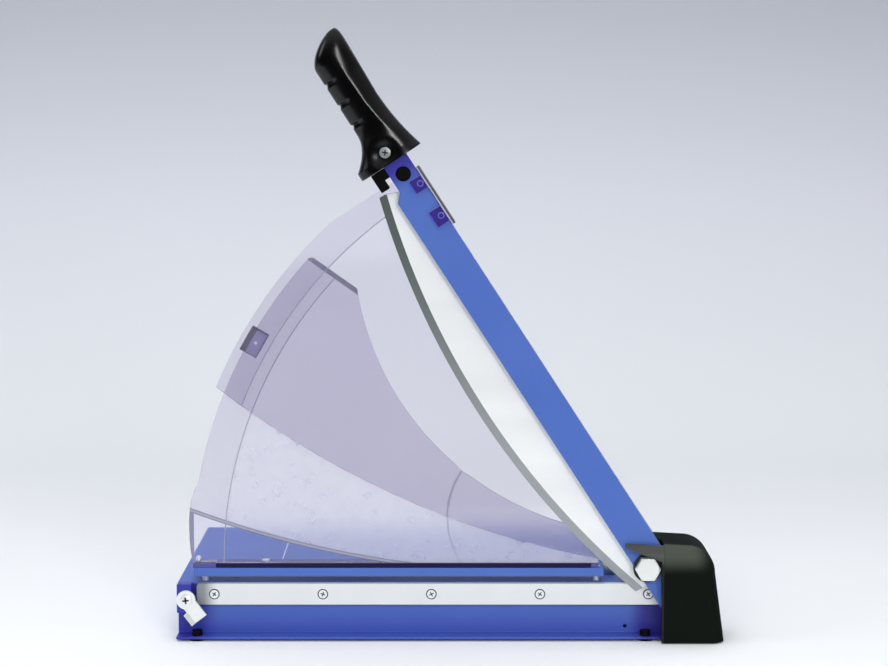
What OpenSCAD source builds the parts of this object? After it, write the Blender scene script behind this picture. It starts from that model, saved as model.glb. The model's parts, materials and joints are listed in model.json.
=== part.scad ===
// Desk paper cutter: a hinged blade arm over a folded sheet table, with a sprung
// clamp bar and a two-part tinted guard. Millimetres, +Z up, the front of the cut at -Y.
// Side views are drawn with x to the left of the pivot and y above it.

/* [Table] */
// Length of the table along the cut
table_len = 428; // [400:1:500]
// Depth of the table behind the cut
table_depth = 260; // [220:1:340]
// Height of the paper surface above the desk
table_h = 48; // [45:1:60]
// Thickness of the folded sheet
sheet = 2; // [1.5:0.1:3]
// Width of the foot flange in front of the front wall
flange_w = 20; // [18:0.5:26]
// Width of the return flange under the far edge
rear_flange_w = 18; // [16:0.5:30]
// Gap between the flange and the desk
foot_gap = 2; // [1:0.1:4]
// Distance from the pivot to the table's right end
pivot_inset = 24; // [23.5:0.5:30]
// Diameter of the small hole in the front wall
wall_hole_d = 3; // [2:0.1:4]

/* [Feet] */
// Diameter of a foot's pad
foot_d = 14; // [12:0.5:14.5]
// Diameter of a foot's neck in the flange
foot_neck_d = 6; // [4:0.1:8]
// Diameter of a foot's knob above the flange
foot_knob_d = 9.2; // [8.5:0.1:11]
// Height of a foot's knob
foot_knob_h = 4.7; // [2:0.1:5]
// Distance of the left feet from the table's left end
foot_inset = 17.5; // [15:0.5:30]

/* [Lower blade] */
// Gap between the lower blade and the stop block
lower_gap = 4; // [1:0.1:8]
// Height of the lower blade
lower_h = 18.4; // [15:0.1:22]
// Thickness of the lower blade
lower_t = 6; // [5:0.1:8]
// Distance of its top edge below the paper surface
lower_drop = 0.5; // [0:0.1:1]
// Length of the lower blade past the pivot
lower_past = 12.5; // [8:0.1:13]
// Distance of its first screw from its left end
first_screw = 15.3; // [13:0.1:20]
// Distance of its last screw from its right end
last_screw = 10.3; // [8:0.1:12]
// Number of its screws
screw_count = 5; // [3:1:5]
// Diameter of its screws' threads
screw_d = 5; // [4:0.1:6]
// Diameter of its screws' heads
screw_head_d = 9.6; // [8:0.1:11]

/* [Stop block and catch] */
// Width of the stop block
block_w = 12.5; // [11:0.1:13]
// Depth of the stop block
block_depth = 12; // [10:0.1:12.4]
// Height of the stop block
block_h = 25; // [20:0.5:30]
// Thickness of the catch
catch_t = 2.7; // [2:0.1:3]
// Radius of the catch's eye
catch_eye_r = 8.2; // [7:0.1:8.4]
// Reach of the catch's tab from its screw
catch_reach = 21; // [18:0.5:21.5]
// Width of the catch's tab
catch_w = 12.4; // [10:0.1:13]
// Angle of the tab below level
catch_angle = 53; // [45:1:60]
// Height of the catch's screw below the paper surface
catch_drop = 13; // [10:0.1:13.5]
// Diameter of the catch's screw
catch_screw_d = 5; // [4:0.1:6]

/* [Pivot] */
// Height of the pivot above the paper surface
pivot_rise = 16; // [15.5:0.1:20]
// Diameter of the pivot bolt
bolt_d = 12; // [10:0.1:12.4]
// Width of the bolt head across its flats
bolt_af = 19; // [17:0.1:22]
// Height of the bolt head
bolt_head_h = 7.5; // [6:0.1:8.5]
// Diameter of the washer under the head
washer_d = 24.5; // [22:0.1:25]
// Thickness of the washer
washer_t = 2; // [1:0.1:2.5]
// Wall of the bush in the arm
bush_wall = 1; // [0.8:0.1:1.5]
// Thickness of the pivot bracket
bracket_t = 8; // [6:0.1:10]
// Half width of the pivot bracket at the bolt
bracket_r = 14; // [12:0.1:15]
// Height of the disc spring stack
disc_h = 2.5; // [1.5:0.1:4]
// Height of the lock nut
nut_h = 10; // [8:0.1:10]

/* [Arm] */
// Angle of the raised arm above level
arm_angle = 57; // [50:0.5:57]
// Width of the arm
arm_w = 29; // [26:0.1:29.5]
// Distance of its blade-side edge from the pivot line
arm_low = 9; // [9:0.1:11]
// Thickness of the arm
arm_t = 8; // [6:0.1:9]
// Distance of the arm's narrow neck inside the table's left end
neck_inset = 23; // [21:0.5:29]
// Distance of the neck's lower edge from the pivot line
neck_low = 2.5; // [1:0.1:4]
// Length of the arm past the pivot, inside the cover
tail = 40; // [30:0.5:42]
// Length of the arm's tang inside the handle
tang = 44; // [36:0.5:60]

/* [Upper blade] */
// Thickness of the upper blade
blade_t = 4; // [3:0.1:5]
// Radius of the curved cutting edge
edge_r = 702; // [680:1:730]
// Greatest depth of the cutting edge below the pivot line
edge_deep = 49.7; // [47:0.1:51]
// Distance of the blade's tip inside the table's left end
tip_inset = 14.5; // [14.4:0.1:18]
// Length of the blade behind the pivot
blade_heel = 14.5; // [13.5:0.1:16]
// Width of the ground bevel
bevel_w = 7; // [4:0.1:9]
// Number of its screws
blade_screws_n = 4; // [3:1:6]

/* [Handle] */
// Distance of the handle's lower end past the table's left end
handle_past = 5; // [4.5:0.1:8]
// Length of the handle
handle_len = 121.5; // [110:0.5:140]
// Depth of the grip
grip_depth = 33.5; // [31:0.1:38]
// Distance of the grip's finger side from the pivot line
grip_low = 6.5; // [5:0.1:8]
// Width of the grip
grip_w = 28; // [24:0.5:32]
// Height of the flare on the finger side
flare_low = 17.5; // [12:0.5:18]
// Height of the flare on the back
flare_high = 8; // [4:0.5:10]
// Depth of a finger notch
notch = 1.8; // [0.5:0.1:2.5]
// Diameter of the handle screw's head
handle_screw_d = 9.4; // [8:0.1:11]

/* [Buffer] */
// Diameter of the buffer's stud in the arm
stud_d = 12.6; // [10:0.1:13]
// Depth of the buffer below the pivot line
buffer_low = 15.6; // [14:0.1:15.7]
// Length of the buffer along the arm
buffer_len = 17; // [14:0.1:17.5]

/* [Clamp] */
// Distance of the clamp bar inside the table's left end
clamp_inset = 14; // [13:0.5:20]
// Distance of the clamp bar's right end from the pivot
clamp_right = 36; // [34:0.5:50]
// Depth of the clamp bar
clamp_depth = 28; // [24:0.5:31]
// Thickness of the clamp bar
clamp_t = 7.5; // [6:0.1:8]
// Lift of the clamp bar above the paper surface
clamp_lift = 5; // [4.5:0.1:6]
// Diameter of a guide post
post_d = 6; // [5:0.1:7]
// Distance of a guide post from the bar's end
post_inset = 9; // [8:0.1:12]
// Wall of a guide sleeve
sleeve_wall = 3; // [2:0.1:4]
// Wire diameter of a return spring
wire_d = 0.8; // [0.6:0.05:0.9]
// Number of turns of a return spring
spring_turns = 6; // [4:1:6]

/* [Guards] */
// Thickness of the lower guard
lower_guard_t = 2.5; // [2:0.1:2.8]
// Distance of the lower guard's rim inside the upper guard's
rim_lap = 8; // [7.5:0.5:9]
// Width of the moulded rim on the lower guard
lower_rim_w = 28; // [20:0.5:34]
// Height of the foot strip under the lower guard
strip_h = 4.3; // [3:0.1:5]
// Depth of the foot strip
strip_depth = 18; // [14:0.5:20]
// Thickness of the upper guard
upper_guard_t = 2; // [1.5:0.1:2.2]
// Distance of the upper guard's rim inside the table's left end
rim_inset = 4; // [1:0.5:6]
// Width of the moulded rim on the upper guard
upper_rim_w = 26; // [22:0.5:32]
// Height of the moulded steps and ribs
step_h = 0.6; // [0.3:0.1:0.7]
// Width of the ribs on the lower guard
rib_w = 2; // [1:0.1:3]
// Thickness of the hook strip on the arm's back
hook_t = 3; // [2.5:0.1:5]
// Distance of the hook strip's near end inside the table's left end
hook_inset = 66.5; // [64:0.5:74]
// Length of the hook strip
hook_len = 57; // [54:0.5:58]
// Reach of the hook lugs over the arm
lug_reach = 11.5; // [9:0.1:12]
// Angle of the guide shoe above level
shoe_angle = 29.8; // [29.5:0.1:32]
// Length of the guide shoe along the rim
shoe_len = 23; // [14:0.5:24]

/* [Cover] */
// Width of the cover to the right of the pivot
cover_right = 66; // [62:0.5:74]
// Distance of the cover's seam from the pivot
cover_seam = 13.6; // [13.4:0.1:15]
// Distance of the cover's front face from the cut
cover_front = 24; // [23.5:0.1:28]
// Depth of the cover behind the cut
cover_back = 40; // [37:0.5:50]
// Height of the cover above the pivot
cover_over = 23; // [22:0.5:31]
// Wall of the cover
cover_wall = 2.5; // [2:0.1:3]
// Radius of the rounding round the cover's front
cover_round = 12; // [6:0.5:13]
// Length of the tongue past the seam
tongue_len = 33; // [28:0.5:36]

/* [Fence] */
// Width of the side fence
fence_w = 10; // [8:0.1:10.5]
// Height of the side fence
fence_h = 8; // [5:0.1:10]
// Distance of the fence's edge from the pivot
fence_x = 24; // [23:0.5:25]
// Distance of the side fence from the table's far edge
fence_back = 19; // [15:0.5:70]

/* [Hidden] */
$fn = 64;

// Clearances: moving flat faces, a running shaft, fixed pieces, and overshoot of a cut
move_gap = 0.3;
run_gap = 0.05;
fix_gap = 0.02;
cut = 1;

// Paint and material colours
blue = "#3a57b8";
steel = "#c9cbcd";
black = "#17181a";
tint = "#a9a6cf";

// Frame: the box is centred in X and Y and stands on the desk
pivot_x = (table_len - pivot_inset - cover_right) / 2;
cut_y = (cover_front - table_depth) / 2;
pivot_z = table_h + pivot_rise;
cover_h = pivot_z + cover_over;
left_end = table_len - pivot_inset;

// Layers from front to back, measured from the cut plane
blade_gap = 0.2;
blade_y = -blade_gap - blade_t;
arm_y = blade_y - arm_t;
washer_y = arm_y - move_gap - washer_t;
head_y = washer_y - bolt_head_h;
upper_guard_y = 1.5;
guard_gap = 1.5;
lower_guard_y = upper_guard_y + upper_guard_t + guard_gap;
wall_y = lower_t;
bracket_y = wall_y + sheet;
clamp_y = upper_guard_y + upper_guard_t + 0.5;
post_y = clamp_y + 11;
lug_t = 2.3;
lug_y = arm_y - move_gap - lug_t;

// Levels in Z
flange_top = foot_gap + sheet;
under_top = table_h - sheet;
clamp_z = table_h + clamp_lift;
clamp_top = clamp_z + clamp_t;
strip_top = clamp_top + strip_h;
lower_top = table_h - lower_drop;
catch_z = table_h - catch_drop;
spring_room = 14;
sleeve_floor = flange_top + 6;
post_end = sleeve_floor + spring_room;

// Places along the cut, to the left of the pivot
clamp_left = left_end - clamp_inset;
block_x = left_end - block_w;
neck_u = left_end - neck_inset;
blade_tip = left_end - tip_inset;
handle_u = left_end + handle_past;
hook_u = left_end - hook_inset;
upper_guard_r = left_end - rim_inset;
lower_guard_r = upper_guard_r - rim_lap;
catch_x = left_end - catch_eye_r;
foot_xs = [left_end - foot_inset, 1];
foot_edge = 7.5;
foot_ys = [wall_y - flange_w + foot_edge, table_depth - foot_edge - 2];
lower_len = block_x - lower_gap + lower_past;
screw_x0 = lower_len - lower_past - first_screw;
screw_pitch = (lower_len - first_screw - last_screw) / (screw_count - 1);
post_xs = [clamp_left - post_inset, clamp_right + post_inset - 3];
strip_screw_insets = [61.5, 42.5];
guard_screw_xs = [clamp_left - strip_screw_insets[0], clamp_right + strip_screw_insets[1]];
fence_y0 = clamp_y + clamp_depth + 4;
fence_len = table_depth - fence_back - fence_y0;
fence_screw_inset = 24;
fence_screw_ys = [fence_y0 + fence_screw_inset, fence_y0 + fence_len - fence_screw_inset];
wall_hole_at = [17.5, flange_top + 5 - pivot_z];
bracket_tail = pivot_inset - sheet - bracket_r - 0.5;
bracket_foot = flange_top + 3;
post_room = 0.5;

function polar(r, a) = [r * cos(a), r * sin(a)];
function mid_circle(a, b, c) =
    let (d = 2 * (a.x * (b.y - c.y) + b.x * (c.y - a.y) + c.x * (a.y - b.y)))
    [(a * a) * (b.y - c.y) + (b * b) * (c.y - a.y) + (c * c) * (a.y - b.y),
     (a * a) * (c.x - b.x) + (b * b) * (a.x - c.x) + (c * c) * (b.x - a.x)] / d;

// A box given by its span left of the pivot, behind the cut and above the desk
module block(xs, ys, zs)
    translate([pivot_x - xs[1], cut_y + ys[0], zs[0]])
        cube([xs[1] - xs[0], ys[1] - ys[0], zs[1] - zs[0]]);

// An upright cylinder
module upright(x, y, z, h, r)
    translate([pivot_x - x, cut_y + y, z]) cylinder(h = h, r = r);

// The side view's frame: x left, y up, z away from the front
module side_view(y)
    translate([pivot_x, cut_y + y, pivot_z]) rotate([90, 0, 180]) children();

// A plate cut from a side view
module plate(y, t) side_view(y) linear_extrude(t) children();

// The same frames turned along the raised arm
module arm_view(y) side_view(y) rotate(arm_angle) children();
module arm_plate(y, t) arm_view(y) linear_extrude(t) children();

module rounded(size, r)
    union() {
        translate([r, 0]) square([size.x - 2 * r, size.y]);
        translate([0, r]) square([size.x, size.y - 2 * r]);
        for (x = [r, size.x - r], y = [r, size.y - r]) translate([x, y]) circle(r);
    }

// A countersunk screw pointing along +Z of its frame, with room added for its hole
module countersunk(d, head_d, len, room = 0) {
    sink = (head_d - d) / 2;
    cylinder(h = sink, r1 = head_d / 2 + room, r2 = d / 2 + room);
    cylinder(h = len, r = d / 2 + room);
}

module lower_screw_places()
    for (i = [0:screw_count - 1])
        side_view(0) translate([screw_x0 - i * screw_pitch, lower_top - lower_h / 2 - pivot_z]) children();

// Folded sheet: top, side walls, rear wall and the return flange behind
module base_table() color(blue) difference() {
    union() {
        difference() {
            block([-pivot_inset, left_end], [wall_y, table_depth], [foot_gap, table_h]);
            block([sheet - pivot_inset, left_end - sheet], [wall_y - cut, table_depth - sheet],
                [foot_gap - cut, under_top]);
            block([-pivot_inset - cut, left_end + cut], [wall_y - cut, bracket_y],
                [foot_gap - cut, under_top]);
        }
        block([-pivot_inset, left_end], [table_depth - rear_flange_w, table_depth - cut],
            [foot_gap, flange_top]);
    }
    for (x = foot_xs)
        upright(x, foot_ys[1], foot_gap - cut, sheet + 2 * cut, foot_neck_d / 2 + fix_gap);
    for (x = post_xs) upright(x, post_y, under_top - cut, sheet + 2 * cut, post_d / 2 + post_room);
    for (y = fence_screw_ys)
        upright(fence_x + fence_w / 2, y, under_top - cut, sheet + 2 * cut, screw_d / 2 + fix_gap);
    block([-bracket_r - bracket_tail - move_gap, bracket_r + move_gap],
        [bracket_y, bracket_y + bracket_t + move_gap], [under_top - cut, table_h + cut]);
}

// Folded angle under the table's front edge: the wall behind the lower blade and the foot flange
module front_rail() color(blue) difference() {
    union() {
        block([-pivot_inset, left_end], [wall_y, bracket_y], [foot_gap, under_top]);
        block([-pivot_inset, left_end], [wall_y - flange_w, wall_y + cut], [foot_gap, flange_top]);
    }
    lower_screw_places() cylinder(h = lower_t + sheet + cut, r = screw_d / 2 + fix_gap);
    for (x = foot_xs)
        upright(x, foot_ys[0], foot_gap - cut, sheet + 2 * cut, foot_neck_d / 2 + fix_gap);
    side_view(wall_y - cut) translate([catch_x, catch_z - pivot_z])
        cylinder(h = sheet + 2 * cut, r = catch_screw_d / 2 + fix_gap);
    side_view(wall_y - cut) translate(wall_hole_at)
        cylinder(h = sheet + 2 * cut, r = wall_hole_d / 2);
}

// Rubber feet: pad below, neck in the flange, knob above
module rubber_feet() color(black)
    for (x = foot_xs, y = foot_ys) {
        upright(x, y, 0, foot_gap, foot_d / 2);
        upright(x, y, 0, flange_top, foot_neck_d / 2);
        upright(x, y, flange_top, foot_knob_h, foot_knob_d / 2);
    }

lower_corner_r = 3;
screw_past = 3;

module lower_blade() color(steel) difference() {
    plate(0, lower_t) translate([-lower_past, lower_top - lower_h - pivot_z])
        rounded([lower_len, lower_h], lower_corner_r);
    lower_screw_places() translate([0, 0, -0.01]) countersunk(screw_d, screw_head_d, lower_t + cut, run_gap);
}

module lower_blade_screws() color("#e6e6e8")
    lower_screw_places() countersunk(screw_d, screw_head_d, lower_t + sheet + screw_past);

// Ledge for the arm's buffer, bolted through the front wall by the catch's screw
module stop_block() color(blue) difference() {
    block([block_x, left_end], [wall_y - block_depth, wall_y],
        [pivot_z - buffer_low - move_gap - block_h, pivot_z - buffer_low - move_gap]);
    side_view(wall_y - block_depth - cut) translate([catch_x, catch_z - pivot_z])
        cylinder(h = block_depth + 2 * cut, r = catch_screw_d / 2 + fix_gap);
}

catch_y = wall_y - block_depth - move_gap - catch_t;
catch_fold = 3;

// Swivel catch: round eye and a tab with a folded finger edge
module catch() color("#dcdde0") difference() {
    side_view(catch_y) translate([catch_x, catch_z - pivot_z]) rotate(180 + catch_angle) {
        linear_extrude(catch_t) {
            circle(catch_eye_r);
            translate([0, -catch_w / 2]) square([catch_reach, catch_w]);
        }
        translate([catch_eye_r + cut, catch_w / 2, 0]) rotate([90, 0, 90])
            linear_extrude(catch_reach - catch_eye_r - cut)
                polygon([[-cut, 0], [catch_fold, -catch_fold], [catch_fold, catch_t - catch_fold],
                    [-cut, catch_t]]);
    }
    side_view(catch_y - cut) translate([catch_x, catch_z - pivot_z])
        cylinder(h = catch_t + 2 * cut, r = catch_screw_d / 2 + run_gap);
}

catch_head_h = 2.6;

module catch_screw() color("#e6e6e8") side_view(catch_y - move_gap - catch_head_h)
    translate([catch_x, catch_z - pivot_z]) {
        cylinder(h = catch_head_h, r = catch_screw_d);
        cylinder(h = catch_head_h + 2 * move_gap + catch_t + block_depth + sheet + screw_past,
            r = catch_screw_d / 2);
    }

// Upright plate behind the front wall that carries the pivot bolt
module pivot_bracket() color("#8f9299") difference() {
    plate(bracket_y, bracket_t) {
        circle(bracket_r);
        translate([-bracket_r - bracket_tail, bracket_foot - pivot_z])
            square([2 * bracket_r + bracket_tail, pivot_z - bracket_foot]);
    }
    side_view(bracket_y - cut) cylinder(h = bracket_t + 2 * cut, r = bolt_d / 2 + fix_gap);
    lower_screw_places() cylinder(h = bracket_y + bracket_t, r = screw_d / 2 + fix_gap);
}

nut_y = bracket_y + bracket_t + disc_h;
bolt_past = 2.5;
bolt_corner_r = bolt_af / 2 / cos(30);

module pivot_bolt() color(steel) {
    side_view(head_y) cylinder(h = bolt_head_h, r = bolt_corner_r, $fn = 6);
    side_view(head_y) cylinder(h = nut_y + nut_h + bolt_past - head_y, r = bolt_d / 2);
}

module ring_on_bolt(y, t, d)
    side_view(y) difference() {
        cylinder(h = t, r = d / 2);
        translate([0, 0, -cut]) cylinder(h = t + 2 * cut, r = bolt_d / 2 + fix_gap);
    }

module pivot_washer() color(black) ring_on_bolt(washer_y, washer_t, washer_d);

spacer_t = 2.4;
spacer_d = bolt_d + 8;

module pivot_spacer() color("#8f9299") ring_on_bolt(bracket_y - spacer_t, spacer_t, spacer_d);

disc_t = 0.7;
disc_r = [bolt_d / 2 + fix_gap, bolt_d / 2 + 5];

// Two disc springs, cone against cone
module disc_springs() color(steel) side_view(bracket_y + bracket_t)
    for (i = [0, 1])
        translate([0, 0, i * disc_h]) mirror([0, 0, i]) rotate_extrude()
            polygon([[disc_r[0], disc_h / 2 - disc_t], [disc_r[0], disc_h / 2], [disc_r[1], disc_t],
                [disc_r[1], 0]]);

module lock_nut() color(steel) side_view(nut_y) difference() {
    cylinder(h = nut_h, r = bolt_corner_r, $fn = 6);
    translate([0, 0, -cut]) cylinder(h = nut_h + 2 * cut, r = bolt_d / 2 + fix_gap);
}

shoulder_r = 24;
cover_lean = 8;
cover_rise = 3;
cover_foot = 1;
rear_left = bracket_r + 0.5 + cover_wall;
rear_y = upper_guard_y + upper_guard_t + 2.7;

// Side outline of the cover, drawn in from its right and top
cover_left = tongue_len - cover_seam + 2 * cut;
shoulder = [shoulder_r + cover_lean - cover_right, cover_h - cover_rise - shoulder_r - pivot_z];
function cover_side(inset, foot) = concat(
    [[cover_left, foot - pivot_z], [inset - cover_right, foot - pivot_z]],
    [for (a = [0:7.5:90]) shoulder + (shoulder_r - inset) * [-cos(a), sin(a)]],
    [[cover_left, cover_h - inset - pivot_z]]);

// The cover's body, or its hollow when a wall is given: outlines lofted back from a rounded front
module cover_form(wall = 0) {
    r = cover_round - wall;
    turns = [for (a = [0:11.25:90]) [wall - cover_front + r * (1 - cos(a)), wall + r * (1 - sin(a))]];
    layers = concat(turns, [[cover_back - wall, wall]]);
    outlines = [for (l = layers) cover_side(l[1], wall > 0 ? -cut : cover_foot)];
    n = len(outlines[0]);
    last = len(layers) - 1;
    points = [for (i = [0:last], p = outlines[i]) [p.x, p.y, layers[i][0]]];
    sides = [for (i = [0:last - 1], k = [0:n - 1])
        let (p = i * n + k, q = i * n + (k + 1) % n)
        each [[p, q, p + n], [q, q + n, p + n]]];
    front = [for (k = [0:n - 1]) n - 1 - k];
    back = [for (k = [0:n - 1]) last * n + k];
    side_view(0) polyhedron(points, concat(sides, [front, back]));
}

// The form cut at its seam, with the roof over the bracket on the left kept
module cover_solid(wall = 0) intersection() {
    cover_form(wall);
    open = wall > 0 ? cut : 0;
    union() {
        block([-cover_right - cut, open - cover_seam], [-cover_front - cut, cover_back + cut],
            [-2 * cut, cover_h + cut]);
        block([-cover_seam - cut, rear_left - wall], [rear_y - open, cover_back + cut],
            [-2 * cut, cover_h + cut]);
    }
}

// Moulded shell over the pivot, open towards the arm and cut to sit on the table
module pivot_cover() color(black) difference() {
    cover_solid();
    cover_solid(cover_wall);
    block([-pivot_inset - move_gap, rear_left + 2 * cut], [wall_y - move_gap, table_depth],
        [-cut, table_h + move_gap]);
}

tongue_t = 8;
tongue_tip_h = 4;
tongue_root = 7;
seam_w = 1.9;
head_room = 0.6;

// Front piece along the seam, with a tongue over the bolt head that carries the cover's rounding on
module cover_tongue() color(black) difference() {
    intersection() {
        cover_form();
        plate(-cover_front - cut, tongue_t + cut) translate([fix_gap - cover_seam, 0]) {
            tip = [tongue_len, cover_h - pivot_z + cut];
            foot = cover_foot - pivot_z - cut;
            polygon([[0, foot], [0, tip.y], tip, tip - [0, tongue_tip_h + cut], [seam_w, tongue_root],
                [seam_w, foot]]);
        }
    }
    side_view(-cover_front - cut) cylinder(h = tongue_t + 2 * cut, r = bolt_corner_r + head_room);
}

fence_head_d = screw_head_d - 1;

module side_fence() color("#b9bcc2") difference() {
    block([fence_x, fence_x + fence_w], [fence_y0, fence_y0 + fence_len], [table_h, table_h + fence_h]);
    for (y = fence_screw_ys) translate([pivot_x - fence_x - fence_w / 2, cut_y + y, table_h + fence_h + 0.01])
        rotate([180, 0, 0]) countersunk(screw_d, fence_head_d, fence_h + cut, run_gap);
}

module fence_screws() color("#e6e6e8")
    for (y = fence_screw_ys) translate([pivot_x - fence_x - fence_w / 2, cut_y + y, table_h + fence_h])
        rotate([180, 0, 0]) countersunk(screw_d, fence_head_d, fence_h + sheet + screw_past);

sleeve_r = post_d / 2 + run_gap + sleeve_wall;
sleeve_end = 2;

// Blind sleeves under the table that guide the posts and hold the springs
module guide_sleeves() color("#8f9299")
    for (x = post_xs) difference() {
        upright(x, post_y, sleeve_floor - sleeve_end, under_top - sleeve_floor + sleeve_end, sleeve_r);
        upright(x, post_y, sleeve_floor, under_top, post_d / 2 + run_gap);
    }

module clamp_bar() color(blue) difference() {
    block([clamp_right, clamp_left], [clamp_y, clamp_y + clamp_depth], [clamp_z, clamp_top]);
    for (x = post_xs) upright(x, post_y, clamp_z - cut, clamp_t + 2 * cut, post_d / 2 + fix_gap);
    for (p = guard_screw_places)
        upright(p.x, p.y, clamp_z - cut, clamp_t + 2 * cut, guard_screw_d / 2 + fix_gap);
}

module guide_posts() color("#dcdde0")
    for (x = post_xs) upright(x, post_y, post_end, clamp_top - post_end, post_d / 2);

// Return spring: one tube wound in a helix between the sleeve's floor and the post
wire_sides = 6;
rings_per_turn = 8;
coil_r = post_d / 2 - wire_d / 2 - 2 * run_gap;
spring_z0 = sleeve_floor + wire_d / 2 + run_gap;
spring_h = post_end - sleeve_floor - wire_d - 2 * run_gap;
spring_gap = spring_h / spring_turns - wire_d;
echo(least_spring_gap = spring_gap);

module return_spring() {
    last = spring_turns * rings_per_turn;
    rise = spring_h / last;
    points = [for (i = [0:last], k = [0:wire_sides - 1])
        let (a = 360 * i / rings_per_turn, b = 360 * k / wire_sides)
        [(coil_r + wire_d / 2 * cos(b)) * cos(a), (coil_r + wire_d / 2 * cos(b)) * sin(a),
            i * rise + wire_d / 2 * sin(b)]];
    sides = [for (i = [0:last - 1], k = [0:wire_sides - 1])
        let (p = i * wire_sides + k, q = i * wire_sides + (k + 1) % wire_sides)
        each [[p, p + wire_sides, q], [q, p + wire_sides, q + wire_sides]]];
    start = [for (k = [1:wire_sides - 2]) [0, k, k + 1]];
    end = [for (k = [1:wire_sides - 2]) [0, k + 1, k] + last * wire_sides * [1, 1, 1]];
    polyhedron(points, concat(sides, start, end));
}

module return_springs() color(steel)
    for (x = post_xs) translate([pivot_x - x, cut_y + post_y, spring_z0]) return_spring();

// Outline of the lower guard
guard_foot = strip_top - pivot_z;
guard_left = clamp_left + 1;
guard_right = clamp_right + 5;
guard_top = [polar(lower_guard_r - 2.4, 42.8), polar(lower_guard_r - 48, 43.8)];
drawn_r = 392;
drawn = lower_guard_r / drawn_r;
arc_rib_r = 177 * drawn;
hollow = [guard_top[1], [177.4, 99] * drawn, [78, 38] * drawn];
hollow_mid = mid_circle(hollow[0], hollow[1], hollow[2]);
bulge_in = lower_guard_r - 30;
bulge_curve = [[1.8, 11.7], [2.5, 20.5], [2.8, 29.3], [2.8, 38], [2.2, 46.7], [0.9, 55.5], [-2, 64.2],
    [-6, 72.9], [-9.5, 82]];
bulge = concat([[bulge_in, guard_foot], [guard_left, guard_foot]],
    [for (p = bulge_curve) [guard_left + p.x, p.y * drawn]], [[bulge_in, 82 * drawn]]);
window = [[guard_left + 2, 47 * drawn], [310, 31] * drawn, [212 * drawn, guard_foot]];
window_mid = mid_circle(window[0], window[1], window[2]);

module lower_guard_outline() difference() {
    union() {
        intersection() {
            circle(lower_guard_r, $fn = 180);
            polygon([[guard_right, guard_foot], [guard_left, guard_foot], [guard_left + 9, 260 * drawn],
                guard_top[0], guard_top[1], [78, 150] * drawn, [guard_right, 8]]);
        }
        polygon(bulge);
    }
    translate(hollow_mid) circle(norm(hollow[0] - hollow_mid), $fn = 180);
}

module arc_rib(r) difference() {
    circle(r + rib_w / 2, $fn = 180);
    circle(r - rib_w / 2, $fn = 180);
}

guard_foot_len = 20;
guard_heel_len = 6;
guard_foot_depth = strip_depth - 4;
lip_depth = 4;
lip_slope = [2.5, 4];
guard_screw_d = 4;
guard_head_d = 7;
end_screw = [guard_left - 4.5, lower_guard_y + lower_guard_t + step_h + 4.2];
guard_screw_places = [[guard_screw_xs[0], post_y], [guard_screw_xs[1], post_y], end_screw];

// Tinted panel that stands on the clamp bar, with its step, ribs, lip and end foot
module lower_guard() color(tint, 0.6) difference() {
    union() {
        plate(lower_guard_y, lower_guard_t) lower_guard_outline();
        plate(lower_guard_y + lower_guard_t, step_h) intersection() {
            lower_guard_outline();
            union() {
                difference() {
                    circle(upper_guard_r, $fn = 180);
                    circle(lower_guard_r - lower_rim_w, $fn = 180);
                }
                translate(window_mid) arc_rib(norm(window[0] - window_mid));
                arc_rib(arc_rib_r);
            }
        }
        plate(lower_guard_y, lower_guard_t + lip_depth) intersection() {
            lower_guard_outline();
            polygon([guard_top[0], guard_top[1], guard_top[1] - lip_slope, guard_top[0] - lip_slope]);
        }
        for (xs = [[guard_left - guard_foot_len, guard_left], [guard_right, guard_right + guard_heel_len]])
            block(xs, [lower_guard_y, lower_guard_y + guard_foot_depth], [clamp_top, strip_top]);
    }
    upright(end_screw.x, end_screw.y, clamp_top - cut, strip_h + 2 * cut, guard_screw_d / 2 + fix_gap);
}

// Dark strip between the lower guard's feet
module foot_strip() color("#14163c") difference() {
    block([guard_right + guard_heel_len, guard_left - guard_foot_len],
        [clamp_y + 0.5, clamp_y + 0.5 + strip_depth], [clamp_top, strip_top]);
    for (x = guard_screw_xs)
        upright(x, post_y, clamp_top - cut, strip_h + 2 * cut, guard_screw_d / 2 + fix_gap);
}

guard_head_h = 2.6;
end_knob_h = 3;

// Pan-head screws through the strip, and one with a knob in the guard's left foot
module guard_screws() color("#dcdde0") {
    for (p = guard_screw_places) {
        upright(p.x, p.y, clamp_z + 1, strip_top - clamp_z - 1, guard_screw_d / 2);
        upright(p.x, p.y, strip_top, guard_head_h, guard_head_d / 2);
    }
    upright(end_screw.x, end_screw.y, strip_top + guard_head_h, end_knob_h, guard_head_d / 2 - 1);
}

bush_r = bolt_d / 2 + run_gap + bush_wall;
arm_high = arm_w - arm_low;
tip_face = neck_u + 4;
blade_back = 6;
blade_screw_d = 4;
blade_head_d = 7.6;
blade_screw_len = 8.5;
blade_screw_ends = [60, neck_u - 40];
blade_screw_step = (blade_screw_ends[1] - blade_screw_ends[0]) / (blade_screws_n - 1);
blade_screw_us = [for (i = [0:blade_screws_n - 1]) blade_screw_ends[0] + i * blade_screw_step];
blade_screw_v = -1.5;
neck_slope = [-4, 3];
tail_slope = 32;
handle_screw_at = [handle_u + 10, 5.6];
stud_at = [handle_u - 13.3, 8.5];

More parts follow.
